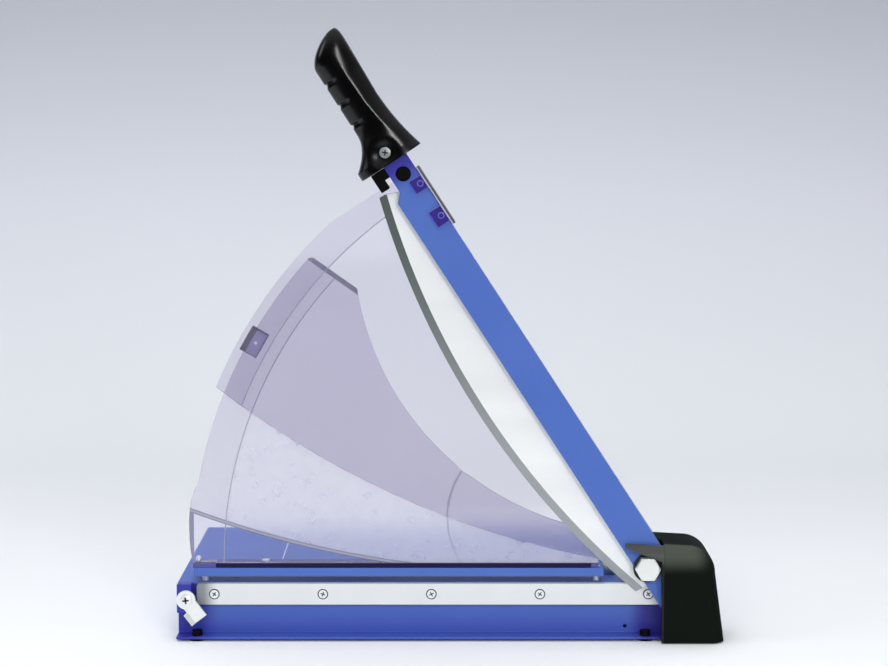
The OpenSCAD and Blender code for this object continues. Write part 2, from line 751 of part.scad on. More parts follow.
// Flat bar with a narrow neck towards the handle and a tail inside the cover
module blade_arm() color(blue) difference() {
    arm_plate(arm_y, arm_t) polygon([[-tail, -arm_low], [neck_u + neck_slope[0], -arm_low],
        [neck_u + neck_slope[1], -neck_low], [handle_u + tang, -neck_low], [handle_u + tang, arm_high],
        [tail_slope - tail, arm_high], [-tail, 0]]);
    side_view(arm_y - cut) cylinder(h = arm_t + 2 * cut, r = bush_r + fix_gap);
    arm_view(arm_y - cut) translate(stud_at) cylinder(h = arm_t + 2 * cut, r = stud_d / 2 + fix_gap);
    arm_view(arm_y - cut) translate(handle_screw_at)
        cylinder(h = arm_t + 2 * cut, r = screw_d / 2 + fix_gap);
    for (u = blade_screw_us) arm_view(-blade_gap - blade_screw_len - cut) translate([u, blade_screw_v])
        cylinder(h = blade_screw_len + cut, r = blade_screw_d / 2 + fix_gap);
}

module arm_bush() color("#b08d57") side_view(arm_y) difference() {
    cylinder(h = arm_t + blade_t, r = bush_r);
    translate([0, 0, -cut]) cylinder(h = arm_t + blade_t + 2 * cut, r = bolt_d / 2 + run_gap);
}

edge_mid = [(blade_tip - blade_heel) / 2, edge_r - edge_deep];
edge_t = 0.6;
ring_r = edge_r - 90;
eye_r = bush_r + 5;

// Curved blade: a disc with a conical bevel on its front, cut to the blade's back and ends
module upper_blade() color(steel) difference() {
    intersection() {
        arm_view(blade_y) translate(edge_mid) rotate_extrude($fn = 360)
            polygon([[ring_r, 0], [edge_r - bevel_w, 0], [edge_r, blade_t - edge_t],
                [edge_r, blade_t], [ring_r, blade_t]]);
        arm_plate(blade_y - cut, blade_t + 2 * cut) union() {
            polygon([[-blade_heel, -edge_deep - cut], [blade_tip, -edge_deep - cut], [blade_tip, -15],
                [tip_face, blade_back - 10], [tip_face, blade_back], [0, blade_back], [-blade_heel, -9]]);
            circle(eye_r);
        }
    }
    side_view(blade_y - cut) cylinder(h = blade_t + 2 * cut, r = bush_r + fix_gap);
    for (u = blade_screw_us) arm_view(-blade_gap + 0.01) translate([u, blade_screw_v])
        rotate([180, 0, 0]) countersunk(blade_screw_d, blade_head_d, blade_t + cut, run_gap);
}

module blade_screws() color("#e6e6e8")
    for (u = blade_screw_us) arm_view(-blade_gap) translate([u, blade_screw_v])
        rotate([180, 0, 0]) countersunk(blade_screw_d, blade_head_d, blade_screw_len);

// Handle outline along the arm: finger side, back and half width at a distance u
handle_end = handle_u + handle_len;
tip_u = handle_end - 23.5;
notch_us = [handle_u + 43, handle_u + 63, handle_u + 83];
grip_high = grip_depth - grip_low;
handle_step = 2;
handle_sides = 24;

function squash_out(t, p) = pow(max(0, 1 - pow(max(0, t), p)), 1 / p);
function tip_t(u) = min(0.985, (u - tip_u) / (handle_end - tip_u));
function notches(u) = max([for (n = notch_us) notch * max(0, 1 - pow((u - n) / 4.5, 2))]);
function finger_side(u) = let (flare = flare_low * pow(max(0, (handle_u + 35 - u) / 28), 2))
    grip_high - (grip_depth * squash_out(tip_t(u), 1.6)) - min(flare, flare_low) + notches(u);
function back_side(u) = grip_high + flare_high * pow(max(0, (handle_u + 57 - u) / 57), 2)
    + 2.5 * max(0, min(1, (u - handle_u - 57) / 60)) - 2 * pow(max(0, tip_t(u)), 4);
function half_width(u) = grip_w / 2 * squash_out(tip_t(u), 2.4)
    + 1.5 * pow(max(0, (handle_u + 30 - u) / 30), 2);
function round_pow(s) = sign(s) * pow(abs(s), 0.8);

module handle_form() {
    us = [for (u = [handle_u:handle_step:handle_end - 1]) u];
    last = len(us) - 1;
    points = [for (u = us, k = [0:handle_sides - 1])
        let (a = 360 * k / handle_sides, low = finger_side(u), high = back_side(u))
        [u, (low + high) / 2 + (high - low) / 2 * round_pow(cos(a)), half_width(u) * round_pow(sin(a))]];
    sides = [for (i = [0:last - 1], k = [0:handle_sides - 1])
        let (p = i * handle_sides + k, q = i * handle_sides + (k + 1) % handle_sides)
        each [[p, p + handle_sides, q], [q, p + handle_sides, q + handle_sides]]];
    start = [for (k = [1:handle_sides - 2]) [0, k, k + 1]];
    end = [for (k = [1:handle_sides - 2]) [0, k + 1, k] + last * handle_sides * [1, 1, 1]];
    polyhedron(points, concat(sides, start, end));
}

arm_mid = arm_y + arm_t / 2;
screw_sunk = 5;
screw_seat = arm_mid - grip_w / 2 + screw_sunk;
handle_head_h = 3;

// Lofted grip with finger notches, slotted for the arm's tang
module handle() color(black) difference() {
    arm_view(arm_mid) handle_form();
    arm_plate(arm_y - run_gap, arm_t + 2 * run_gap) translate([handle_u - cut, -neck_low - run_gap])
        square([tang + cut + move_gap, arm_high + neck_low + 2 * run_gap]);
    arm_view(arm_mid - grip_w) translate(handle_screw_at)
        cylinder(h = screw_seat - arm_mid + grip_w, r = handle_screw_d / 2 + cut);
    arm_view(arm_mid - grip_w) translate(handle_screw_at)
        cylinder(h = grip_w + arm_t, r = screw_d / 2 + run_gap);
}

module handle_screw() color("#dcdde0") arm_view(screw_seat - handle_head_h) translate(handle_screw_at) {
    cylinder(h = handle_head_h, r = handle_screw_d / 2);
    cylinder(h = arm_y + arm_t + screw_past - 1 - screw_seat + handle_head_h, r = screw_d / 2);
}

buffer_end = handle_u - move_gap;
buffer_u = buffer_end - buffer_len;
buffer_notch = [7.7, 5];

// Rubber block under the neck, notched beside it and joined behind the arm to a stud in the arm's hole
module arm_buffer() color(black) {
    stud_r = stud_d / 2;
    side = stud_at.x - stud_r - cut;
    back = stud_at.y + stud_r + cut;
    foot = [[buffer_u, -buffer_low], [buffer_end, -buffer_low]];
    inner = [buffer_u + buffer_notch.x, -neck_low - fix_gap];
    notch = [inner, inner - [0, buffer_notch.y], inner - buffer_notch];
    arm_plate(arm_y, arm_t + cut) polygon(concat(foot, [[buffer_end, inner.y]], notch));
    arm_plate(blade_y, blade_t) polygon(concat(foot,
        [[buffer_end, back], [side, back], [side, stud_at.y - stud_r]], notch));
    arm_view(arm_y) translate(stud_at) cylinder(h = arm_t + cut, r = stud_r);
}

// Outline of the upper guard, drawn along the raised arm
hub_r = bracket_r - 1;
hub_y = 0.6;
hub_t = bracket_y - spacer_t - blade_gap - hub_y;
guard_edge_v = arm_high + move_gap;
fan_low = [polar(upper_guard_r, 22.7 - arm_angle), polar(218 * drawn, 18.1 - arm_angle),
    polar(39.6 * drawn, 5.7 - arm_angle)];
fan_mid = mid_circle(fan_low[0], fan_low[1], fan_low[2]);

module upper_guard_outline() {
    intersection() {
        circle(upper_guard_r, $fn = 180);
        translate(fan_mid) circle(norm(fan_low[0] - fan_mid), $fn = 360);
        translate([0, guard_edge_v - 2 * upper_guard_r]) square([upper_guard_r, 2 * upper_guard_r]);
        translate([0, -upper_guard_r]) square([hook_u + hook_len, 2 * upper_guard_r]);
    }
}

// Tinted fan on the pivot, with a stiffer rim and a hub
module upper_guard() color(tint, 0.5) difference() {
    union() {
        arm_plate(upper_guard_y, upper_guard_t) upper_guard_outline();
        arm_plate(upper_guard_y - step_h, step_h) difference() {
            upper_guard_outline();
            circle(upper_guard_r - upper_rim_w, $fn = 180);
        }
        side_view(hub_y) cylinder(h = hub_t, r = hub_r);
    }
    side_view(hub_y - cut) cylinder(h = hub_t + 2 * cut, r = bolt_d / 2 + run_gap);
}

hook_back = lower_guard_y + lower_guard_t + lip_depth - 1;
lug_lens = [15.5, 12.5];
lug_us = [hook_u + 4, hook_u + hook_len - 19.5];
lug_boss = [2.4, 0.8];
lug_boss_v = arm_high - lug_reach / 2 + 2;

// Strip on the guard's top edge that lies on the arm's back, with two lugs in front of the arm
module guard_hooks() color(tint, 0.7) {
    arm_plate(lug_y, hook_back - lug_y) translate([hook_u, guard_edge_v]) square([hook_len, hook_t]);
    for (i = [0, 1]) {
        arm_plate(lug_y, lug_t) translate([lug_us[i], arm_high - lug_reach])
            square([lug_lens[i], lug_reach + move_gap + hook_t]);
        arm_view(lug_y - lug_boss[1]) translate([lug_us[i] + lug_lens[i] / 2, lug_boss_v])
            cylinder(h = lug_boss[1] + cut, r = lug_boss[0]);
    }
}

shoe_y = upper_guard_y + upper_guard_t;
shoe_room = 0.6;
shoe_wall = 1.8;
shoe_slot = [lower_guard_y - shoe_room, lower_guard_y + lower_guard_t + step_h + shoe_room];
shoe_in = lower_guard_r - 12.5;
shoe_out = upper_guard_r - 4.4;
shoe_bridge = 2.8;
shoe_boss = [2.5, 2.6];

// Guide shoe behind the upper guard that wraps the lower guard's rim
module guide_shoe() color(tint, 0.8) side_view(0) rotate(shoe_angle) {
    translate([shoe_in, -shoe_len / 2, shoe_y]) cube([shoe_out - shoe_in, shoe_len, shoe_slot[0] - shoe_y]);
    translate([shoe_in, -shoe_len / 2, shoe_slot[1]]) cube([shoe_out - shoe_in, shoe_len, shoe_wall]);
    translate([shoe_out - shoe_bridge, -shoe_len / 2, shoe_y])
        cube([shoe_bridge, shoe_len, shoe_slot[1] + shoe_wall - shoe_y]);
    translate([(shoe_in + shoe_out) / 2, 0, shoe_slot[1]]) cylinder(h = shoe_boss[1], r = shoe_boss[0]);
}

base_table();
front_rail();
rubber_feet();
lower_blade();
lower_blade_screws();
stop_block();
catch();
catch_screw();
pivot_bracket();
pivot_bolt();
pivot_washer();
pivot_spacer();
disc_springs();
lock_nut();
pivot_cover();
cover_tongue();
side_fence();
fence_screws();
guide_sleeves();
clamp_bar();
guide_posts();
return_springs();
lower_guard();
foot_strip();
guard_screws();
blade_arm();
arm_bush();
upper_blade();
blade_screws();
handle();
handle_screw();
arm_buffer();
upper_guard();
guard_hooks();
guide_shoe();
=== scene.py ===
# %% [markdown]
# # Dressing a paper cutter
# A desk paper cutter is a folded blue sheet table, a curved blade on a hinged arm, a sprung
# clamp bar and two tinted guard panels. The CAD frame already holds every piece at its real
# size, so this lesson adds what a drawing lacks: broken edges, screw recesses, wound springs,
# paint, ground steel, moulded plastic and light.

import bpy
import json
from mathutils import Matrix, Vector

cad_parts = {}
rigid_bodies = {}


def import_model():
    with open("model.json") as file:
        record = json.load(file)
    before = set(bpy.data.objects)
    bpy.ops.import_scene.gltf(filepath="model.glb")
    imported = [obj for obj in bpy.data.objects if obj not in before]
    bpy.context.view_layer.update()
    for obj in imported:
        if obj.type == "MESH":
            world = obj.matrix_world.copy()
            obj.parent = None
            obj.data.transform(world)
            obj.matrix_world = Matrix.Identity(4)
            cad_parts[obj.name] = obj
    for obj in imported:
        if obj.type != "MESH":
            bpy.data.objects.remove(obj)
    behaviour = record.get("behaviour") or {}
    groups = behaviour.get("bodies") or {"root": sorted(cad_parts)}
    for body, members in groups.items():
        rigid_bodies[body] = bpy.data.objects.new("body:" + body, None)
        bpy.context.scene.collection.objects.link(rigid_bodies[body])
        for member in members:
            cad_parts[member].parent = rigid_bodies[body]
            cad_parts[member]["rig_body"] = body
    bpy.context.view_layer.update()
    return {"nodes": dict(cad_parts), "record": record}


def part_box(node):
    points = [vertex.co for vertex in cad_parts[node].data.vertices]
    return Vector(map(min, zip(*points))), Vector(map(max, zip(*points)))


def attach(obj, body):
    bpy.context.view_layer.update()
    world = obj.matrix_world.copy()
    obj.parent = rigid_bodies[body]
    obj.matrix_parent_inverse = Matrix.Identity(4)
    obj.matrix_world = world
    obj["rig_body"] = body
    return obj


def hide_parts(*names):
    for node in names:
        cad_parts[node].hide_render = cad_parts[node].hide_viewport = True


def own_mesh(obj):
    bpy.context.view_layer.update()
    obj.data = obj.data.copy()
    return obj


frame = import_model()
nodes = frame["nodes"]

# %% [markdown]
# ## Camera
# The photograph looks at the cutter from the front, a little above the table. A long lens about
# two metres away keeps the near and far edges almost the same size, as in a catalogue picture.
# The numbers come from matching corners of the table in the photograph.

# %% Set the camera
import bpy
import bmesh
import json
from math import cos, pi, radians, sin
from mathutils import Matrix, Vector

scene = bpy.context.scene
scene.view_settings.view_transform = "Standard"
lens = bpy.data.cameras.new("long_lens")
lens.lens = 92.03
lens.sensor_width = 36
camera = bpy.data.objects.new("front_camera", lens)
camera.location = (-0.0051, -2.043, 0.461)
camera.rotation_euler = (radians(84.18), 0, 0)
scene.collection.objects.link(camera)
scene.camera = camera
print("camera: lens", lens.lens, "mm")

# %% [markdown]
# ## Two small helpers for node trees
# Every finish below is a little chain of nodes. One function turns a hex colour into the linear
# values that shaders want, and one adds a node with its settings and links, so that a chain
# reads from top to bottom.


# %% Helpers for colours and nodes
def srgb(code):
    """An sRGB hex colour as linear RGBA."""
    parts = [int(code[i:i + 2], 16) / 255 for i in (1, 3, 5)]
    linear = [p / 12.92 if p <= 0.04045 else ((p + 0.055) / 1.055) ** 2.4 for p in parts]
    return (*linear, 1)


def add(tree, kind, inputs=(), **settings):
    """A new node with its settings, each input fed by a socket or set to a value."""
    node = tree.nodes.new(kind)
    for name, value in settings.items():
        setattr(node, name, value)
    for name, value in dict(inputs).items():
        for one in value if isinstance(value, list) else [value]:
            if isinstance(one, bpy.types.NodeSocket):
                tree.links.new(one, node.inputs[name])
            else:
                node.inputs[name].default_value = one
    return node


def per(mm):
    """The scale of a texture whose features are this many millimetres across."""
    return 1000 / mm


print("paint blue in linear light:", [round(c, 3) for c in srgb("#3f62bd")])

# %% [markdown]
# ## Zones of a surface
# Painted shade deepens the paint at a fold and at the ends of a piece, painted shade darkens a ground edge
# towards its tip, painted highlights lighten a few edges, and a guard is etched on one side of a rib. Each
# of these is a zone of one piece, and a zone is a soft mask on the place in the piece's own coordinates:
# a distance along a direction, or a distance from an axis that runs from front to back.


# %% Masks for zones
def beyond(way, start, end):
    """A mask that rises while the distance along a direction goes from start to end."""
    def mask(tree, place):
        far = add(tree, "ShaderNodeVectorMath", {0: place, 1: way}, operation="DOT_PRODUCT").outputs["Value"]
        return add(tree, "ShaderNodeMapRange", {"Value": far, "From Min": start, "From Max": end},
                   interpolation_type="SMOOTHSTEP").outputs[0]
    return mask


def away_from(tree, place, middle):
    """The distance from an axis through a point of the front view."""
    flat = add(tree, "ShaderNodeVectorMath", {0: place, 1: (1, 0, 1)}, operation="MULTIPLY").outputs[0]
    return add(tree, "ShaderNodeVectorMath", {0: flat, 1: middle}, operation="DISTANCE").outputs["Value"]


def outside(middle, start, end):
    """A mask that rises while the distance from an axis goes from start to end."""
    def mask(tree, place):
        return add(tree, "ShaderNodeMapRange", {
            "Value": away_from(tree, place, middle), "From Min": start, "From Max": end},
            interpolation_type="SMOOTHSTEP").outputs[0]
    return mask


def ring_line(middle, radius, half):
    """A mask for a line round an axis, twice half wide."""
    def mask(tree, place):
        return add(tree, "ShaderNodeMath", {0: away_from(tree, place, middle), 1: radius, 2: half},
                   operation="COMPARE").outputs[0]
    return mask


def both(one, two):
    """Where two masks meet."""
    def mask(tree, place):
        return add(tree, "ShaderNodeMath", {0: one(tree, place), 1: two(tree, place)},
                   operation="MULTIPLY").outputs[0]
    return mask


PIVOT = Vector((0.169, -0.118, 0.064))
ARM_ANGLE = radians(57)
ALONG = Vector((-cos(ARM_ANGLE), 0, sin(ARM_ANGLE)))
ACROSS = Vector((sin(ARM_ANGLE), 0, cos(ARM_ANGLE)))


def on_line(way, mm):
    """A distance from the pivot along a direction, as the dot product that a mask reads."""
    return PIVOT.dot(way) + mm / 1000


print("arm raised by", 57, "degrees; pivot at", [round(c * 1000) for c in PIVOT], "mm")

# %% [markdown]
# ## A finish with two shades and a grain
# Paint, plastic and steel all have the same three layers to the eye: a colour that drifts a
# little over the piece, a gloss that drifts with it, and a fine grain that breaks up highlights.
# One function builds that chain, and each material below gives it real sizes in millimetres.


# %% The common finish
def surfaced(name, shades, blotch_mm, rough, grain_mm, lift_mm, pull=(1, 1, 1), plain=(), zones=()):
    """A material from two shades, a span of roughness, a grain and zones of other shades."""
    made = bpy.data.materials.new(name)
    made.use_nodes = True
    tree = made.node_tree
    shader = tree.nodes["Principled BSDF"]
    for socket, value in dict(plain).items():
        shader.inputs[socket].default_value = value
    place = add(tree, "ShaderNodeTexCoord").outputs["Object"]
    pulled = add(tree, "ShaderNodeMapping", {"Vector": place, "Scale": pull}).outputs[0]
    blotch = add(tree, "ShaderNodeTexNoise", {"Vector": pulled, "Scale": per(blotch_mm), "Detail": 3})
    colour = add(tree, "ShaderNodeMix", {0: blotch.outputs[0], 6: srgb(shades[0]), 7: srgb(shades[1])},
                 data_type="RGBA").outputs[2]
    for mask, shade in zones:
        colour = add(tree, "ShaderNodeMix", {0: mask(tree, place), 6: colour, 7: srgb(shade)},
                     data_type="RGBA").outputs[2]
    gloss = add(tree, "ShaderNodeMapRange", {"Value": blotch.outputs[0], "From Min": 0.3, "From Max": 0.7,
                                             "To Min": rough[0], "To Max": rough[1]})
    grain = add(tree, "ShaderNodeTexNoise", {"Vector": pulled, "Scale": per(grain_mm), "Detail": 2})
    lift = add(tree, "ShaderNodeBump", {"Height": grain.outputs[0], "Strength": 0.5,
                                        "Distance": lift_mm / 1000})
    tree.links.new(colour, shader.inputs["Base Color"])
    tree.links.new(gloss.outputs[0], shader.inputs["Roughness"])
    tree.links.new(lift.outputs[0], shader.inputs["Normal"])
    return made


print("common finish: two shades, a gloss span, a grain and zones")

# %% [markdown]
# ## Paint, steel and plastic
# The table and the arm are powder coated sheet steel. The blades, screws and bolt are ground or
# plated steel with a matt skin, which scatters about as much light as it mirrors, so they look
# nearly white under soft lamps. The cover, handle and rubber pieces are black plastics. A few zones
# are painted shade or painted highlights of the photograph that these lamps don't give. Painted shade
# lies on the foot and ends of the rail, the arm beside the handle and the blade's bevel towards its tip,
# and a painted dark reflection on the left end of the fixed blade. Painted highlights lie on the shoulder
# of the cover, the top of its tongue and the top of the dark strip. They are fixed tones of the piece,
# the same from every side.

# %% Finishes by name
RIGHT, FRONT, UP = Vector((1, 0, 0)), Vector((0, -1, 0)), Vector((0, 0, 1))
blue = ("#4160ae", "#4a69b6")
coat = {"IOR": 1.5, "Specular IOR Level": 0.4}
matt = {"Metallic": 0.4}
plated = {"Metallic": 0.5}
bare = {"Metallic": 1.0}
strip_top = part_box("foot_strip")[1].z
# Painted shade on the foot of the folded front
rail_foot_painted_shade = (beyond(UP, 0.034, 0.004), "#3c52aa")
# A painted highlight on the front shoulder of the cover
painted_shoulder_highlight = both(both(beyond(UP, 0.060, 0.076), beyond(UP, 0.0862, 0.0852)),
                both(beyond(FRONT, 0.129, 0.134), beyond(RIGHT, 0.226, 0.207)))
finishes = {
    # Powder coat, baked on: an even satin blue with a faint orange peel a millimetre or two across
    "blue_paint": surfaced("powder_coat_blue", blue, 60, (0.42, 0.5), 1.6, 0.03, plain=coat),
    # The same coat on the arm, with painted shade beside the handle
    "arm_paint": surfaced("powder_coat_blue_arm", blue, 60, (0.36, 0.44), 1.6, 0.03, plain=coat, zones=[
        (beyond(ALONG, on_line(ALONG, 383), on_line(ALONG, 402)), "#302e98")]),
    # The same coat on the folded front, with painted shade at its foot and at both ends
    "rail_paint": surfaced("powder_coat_blue_rail", blue, 60, (0.36, 0.44), 1.6, 0.03, plain=coat, zones=[
        rail_foot_painted_shade, (beyond(RIGHT, -0.196, -0.222), "#2d2f96"), (beyond(RIGHT, 0.152, 0.170), "#2b2986")]),
    # Ground tool steel: near white, with streaks across the grinding direction
    "blade_steel": surfaced("ground_tool_steel", ("#e9ecec", "#f6f8f8"), 30, (0.4, 0.5), 0.9, 0.01,
                            (0.08, 1, 1), matt),
    # The same steel on the fixed blade, with a painted dark reflection towards its left end
    "fixed_steel": surfaced("ground_tool_steel_fixed", ("#dcdfe0", "#e6e9ea"), 40, (0.4, 0.5), 0.7, 0.01,
                            (1, 1, 0.1), matt, [(beyond(RIGHT, -0.199, -0.214), "#8b9193")]),
    # Zinc plate: bright, slightly blotched
    "zinc_screws": surfaced("zinc_plated_steel", ("#e2e6e7", "#f3f5f5"), 6, (0.28, 0.4), 0.5, 0.01,
                            plain=plated),
    # The same plate, darker, on the handle's screw
    "dull_zinc": surfaced("worn_zinc_plate", ("#8d9294", "#a9aeb0"), 3, (0.3, 0.42), 0.5, 0.02, plain=plated),
    # Bare hot rolled steel, hidden under the table
    "grey_steel": surfaced("bare_steel", ("#7d8188", "#989ca3"), 14, (0.42, 0.56), 0.8, 0.02, plain=bare),
    # Nickelled bolt steel
    "bolt_steel": surfaced("nickel_plated_steel", ("#e0e3e2", "#ecefee"), 9, (0.28, 0.36), 0.6, 0.005,
                           plain=plated),
    # Black oxide: a dull blue-black skin on steel; on the screws it is painted shade in their recesses
    "black_oxide": surfaced("black_oxide_steel", ("#0c0e0e", "#161919"), 5, (0.4, 0.55), 0.5, 0.02),
    # Moulded ABS with a fine spark-eroded grain, a slightly green black, with a painted highlight on the
    # cover's front shoulder
    "black_plastic": surfaced("abs_spark_grain", ("#0b0f0c", "#111612"), 40, (0.7, 0.8), 0.8, 0.02,
                              plain={"IOR": 1.53, "Specular IOR Level": 0.05},
                              zones=[(painted_shoulder_highlight, "#464b44")]),
    # The same ABS on the tongue, a little glossier, with a painted highlight on its upper side
    "tongue_plastic": surfaced("abs_rubbed", ("#0c100d", "#121713"), 25, (0.42, 0.52), 0.8, 0.02,
                               plain={"IOR": 1.53, "Specular IOR Level": 0.25},
                               zones=[(beyond(UP, 0.066, 0.072), "#3f423f")]),
    # Polished nylon of the handle
    "handle_nylon": surfaced("black_nylon", ("#010102", "#030304"), 30, (0.2, 0.27), 1.1, 0.008,
                             plain={"IOR": 1.5, "Specular IOR Level": 0.4}),
    # Rubber: dead black and matt
    "black_rubber": surfaced("moulded_rubber", ("#020203", "#060608"), 8, (0.55, 0.7), 0.6, 0.03,
                             plain={"Specular IOR Level": 0.12}),
    # Anodised aluminium bar with drawing lines along it
    "fence_metal": surfaced("anodised_aluminium", ("#aeb2b8", "#c3c7cc"), 12, (0.36, 0.46), 0.7, 0.01,
                            (1, 0.05, 1), bare),
    # A dark navy strip, with a painted highlight along its top
    "navy_strip": surfaced("navy_vinyl", ("#0e0a30", "#15113e"), 12, (0.5, 0.6), 0.7, 0.02,
                           plain={"Specular IOR Level": 0.2},
                           zones=[(beyond(UP, strip_top - 0.0003, strip_top - 0.0001), "#5d5f92")]),
    # Sintered bronze bush
    "bronze": surfaced("sintered_bronze", ("#8f6f40", "#b08d57"), 3, (0.4, 0.5), 0.4, 0.02, plain=bare),
    # Ground bevel: the same steel with the grinder's lines across it, with painted shade towards the free end
    "ground_bevel": surfaced("cross_ground_steel", ("#979c9e", "#a8adaf"), 18, (0.42, 0.52), 0.7, 0.02,
                             (1, 1, 0.3), matt,
                             [(beyond(ALONG, on_line(ALONG, 90), on_line(ALONG, 370)), "#5c6462")]),
    # White screen ink, and a dark tone for the oblongs under the clamp
    "white_ink": surfaced("white_screen_ink", ("#dfe4f6", "#eef1fb"), 5, (0.4, 0.5), 0.6, 0.01),
    "black_ink": surfaced("black_screen_ink", ("#0c0d16", "#14151f"), 4, (0.4, 0.5), 0.6, 0.01),
}
print("finishes:", len(finishes))

# %% [markdown]
# ## Tinted guard plastic
# The guards are clear acrylic with a violet tint, thicker along their rims. The lower one is etched,
# most of all below the fan's edge, and clear in a window under a curved rib. Layers say all this:
# each has a mask, a tint, how much light goes through, and a roughness that blurs it. What doesn't
# go through is scattered, which gives the etched part its milky look.


# %% Layers of tint
def tinted(name, shades, clear, rough, layers=(), cloud_mm=90):
    """Tinted acrylic from two shades; each layer is a mask, a shade, its clearness and its roughness."""
    made = bpy.data.materials.new(name)
    made.use_nodes = True
    tree = made.node_tree
    shader = tree.nodes["Principled BSDF"]
    for socket, value in {"IOR": 1.49, "Transmission Weight": clear, "Roughness": rough}.items():
        shader.inputs[socket].default_value = value
    place = add(tree, "ShaderNodeTexCoord").outputs["Object"]
    cloud = add(tree, "ShaderNodeTexNoise", {"Vector": place, "Scale": per(cloud_mm), "Detail": 1})
    colour = add(tree, "ShaderNodeMix", {0: cloud.outputs[0], 6: srgb(shades[0]), 7: srgb(shades[1])},
                 data_type="RGBA").outputs[2]
    for mask, shade, layer_clear, layer_rough in layers:
        share = mask(tree, place)
        colour = add(tree, "ShaderNodeMix", {0: share, 6: colour, 7: srgb(shade)},
                     data_type="RGBA").outputs[2]
        clear = add(tree, "ShaderNodeMix", {0: share, 2: clear, 3: layer_clear}).outputs[0]
        rough = add(tree, "ShaderNodeMix", {0: share, 2: rough, 3: layer_rough}).outputs[0]
    tree.links.new(colour, shader.inputs["Base Color"])
    if layers:
        tree.links.new(clear, shader.inputs["Transmission Weight"])
        tree.links.new(rough, shader.inputs["Roughness"])
    return made


def mid_circle(*points):
    """Centre and radius, in metres, of a circle through three points left of and above the pivot."""
    (a, b, c) = points
    d = 2 * (a[0] * (b[1] - c[1]) + b[0] * (c[1] - a[1]) + c[0] * (a[1] - b[1]))
    aa, bb, cc = (p[0] ** 2 + p[1] ** 2 for p in points)
    left = (aa * (b[1] - c[1]) + bb * (c[1] - a[1]) + cc * (a[1] - b[1])) / d
    up = (aa * (c[0] - b[0]) + bb * (a[0] - c[0]) + cc * (b[0] - a[0])) / d
    radius = ((a[0] - left) ** 2 + (a[1] - up) ** 2) ** 0.5
    return Vector((PIVOT.x - left / 1000, 0, PIVOT.z + up / 1000)), radius / 1000


def polar(radius, degrees):
    """A point left of and above the pivot, in millimetres."""
    return (radius * cos(radians(degrees)), radius * sin(radians(degrees)))


print("a point 100 mm out at 30 degrees:", [round(c, 1) for c in polar(100, 30)])

# %% [markdown]
# ### Where the layers lie
# The fan's lower edge and the window's rib are circles through three points each. Thin lines mark
# the steps where the rims get thicker. The steps are real in the shape, but a tenth of a millimetre
# shows best as a fine line of darker plastic.

# %% Tints of the two guards
HUB = Vector((PIVOT.x, 0, PIVOT.z))
FAN_MID, FAN_R = mid_circle(polar(400, 22.7), polar(218, 15.4), polar(39.6, 5.7))
WINDOW_MID, WINDOW_R = mid_circle((393, 47), (310, 20.6), (212, 0.8))
BOW_MID, BOW_R = mid_circle((156.7, 84), (171.2, 38.7), (160.6, 2.8))
LINE = 0.00042
lip_a, lip_b = (Vector((-p[0], 0, p[1])) / 1000 for p in (polar(389.6, 42.8), polar(344, 43.8)))
lip_up = Vector((lip_b - lip_a).cross(Vector((0, 1, 0)))).normalized()
lip_up = lip_up if lip_up.z > 0 else -lip_up
lip_at = lip_up.dot(HUB + lip_a)
foot_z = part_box("clamp_bar")[1].z
# Under the fan's edge at rest the lower guard is less etched, and its darker tint there is painted shade of
# the fan over it; it stays put when the fan swings.
under_fan = outside(FAN_MID, FAN_R + 0.0004, FAN_R - 0.0004)
below_fan = outside(FAN_MID, FAN_R - 0.0004, FAN_R + 0.0004)
thick_rim = outside(HUB, 0.3638, 0.3642)
lower_layers = [
    (under_fan, "#dfdae9", 0.96, 0.26),
    (both(under_fan, thick_rim), "#d6d2e1", 0.96, 0.26),
    (both(below_fan, thick_rim), "#e4e3ee", 0.72, 0.26),
    (outside(WINDOW_MID, WINDOW_R - 0.0003, WINDOW_R + 0.0003), "#eceaf8", 1.0, 0.04),
    (ring_line(HUB, 0.364, LINE), "#aaa8bd", 0.5, 0.2),
    (ring_line(BOW_MID, BOW_R, LINE), "#aaa8bd", 0.5, 0.2),
    # The window's rib is a light line between two dark ones: painted shading of the rib.
    (ring_line(WINDOW_MID, WINDOW_R, 0.0014), "#b5b4c9", 0.5, 0.2),
    (ring_line(WINDOW_MID, WINDOW_R + 0.0013, 0.0003), "#6f6f80", 0.3, 0.2),
    (ring_line(WINDOW_MID, WINDOW_R - 0.0013, 0.0003), "#7b7b90", 0.3, 0.2),
    (beyond(lip_up, lip_at - 0.0042, lip_at - 0.0036), "#8f8ca4", 0.75, 0.2),
    (both(beyond(RIGHT, -0.2206, -0.2211), beyond(UP, HUB.z + 0.046, HUB.z + 0.044)), "#9c99b6", 0.6, 0.2),
    (beyond(UP, foot_z + 0.0046, foot_z + 0.0040), "#5f5db0", 0.5, 0.2),
]
finishes["fan_tint"] = tinted("violet_acrylic", ("#efedf5", "#f3f1f8"), 1.0, 0.05, [
    (outside(HUB, 0.3738, 0.3742), "#e8e5f0", 1.0, 0.05),
    (ring_line(HUB, 0.374, LINE), "#a9a7bb", 0.6, 0.2)])
finishes["tinted_guard"] = tinted("etched_violet_acrylic", ("#e3e3f0", "#eeedf6"), 0.72, 0.26, lower_layers,
                                  cloud_mm=9)
ARM_HIGH = 20.0
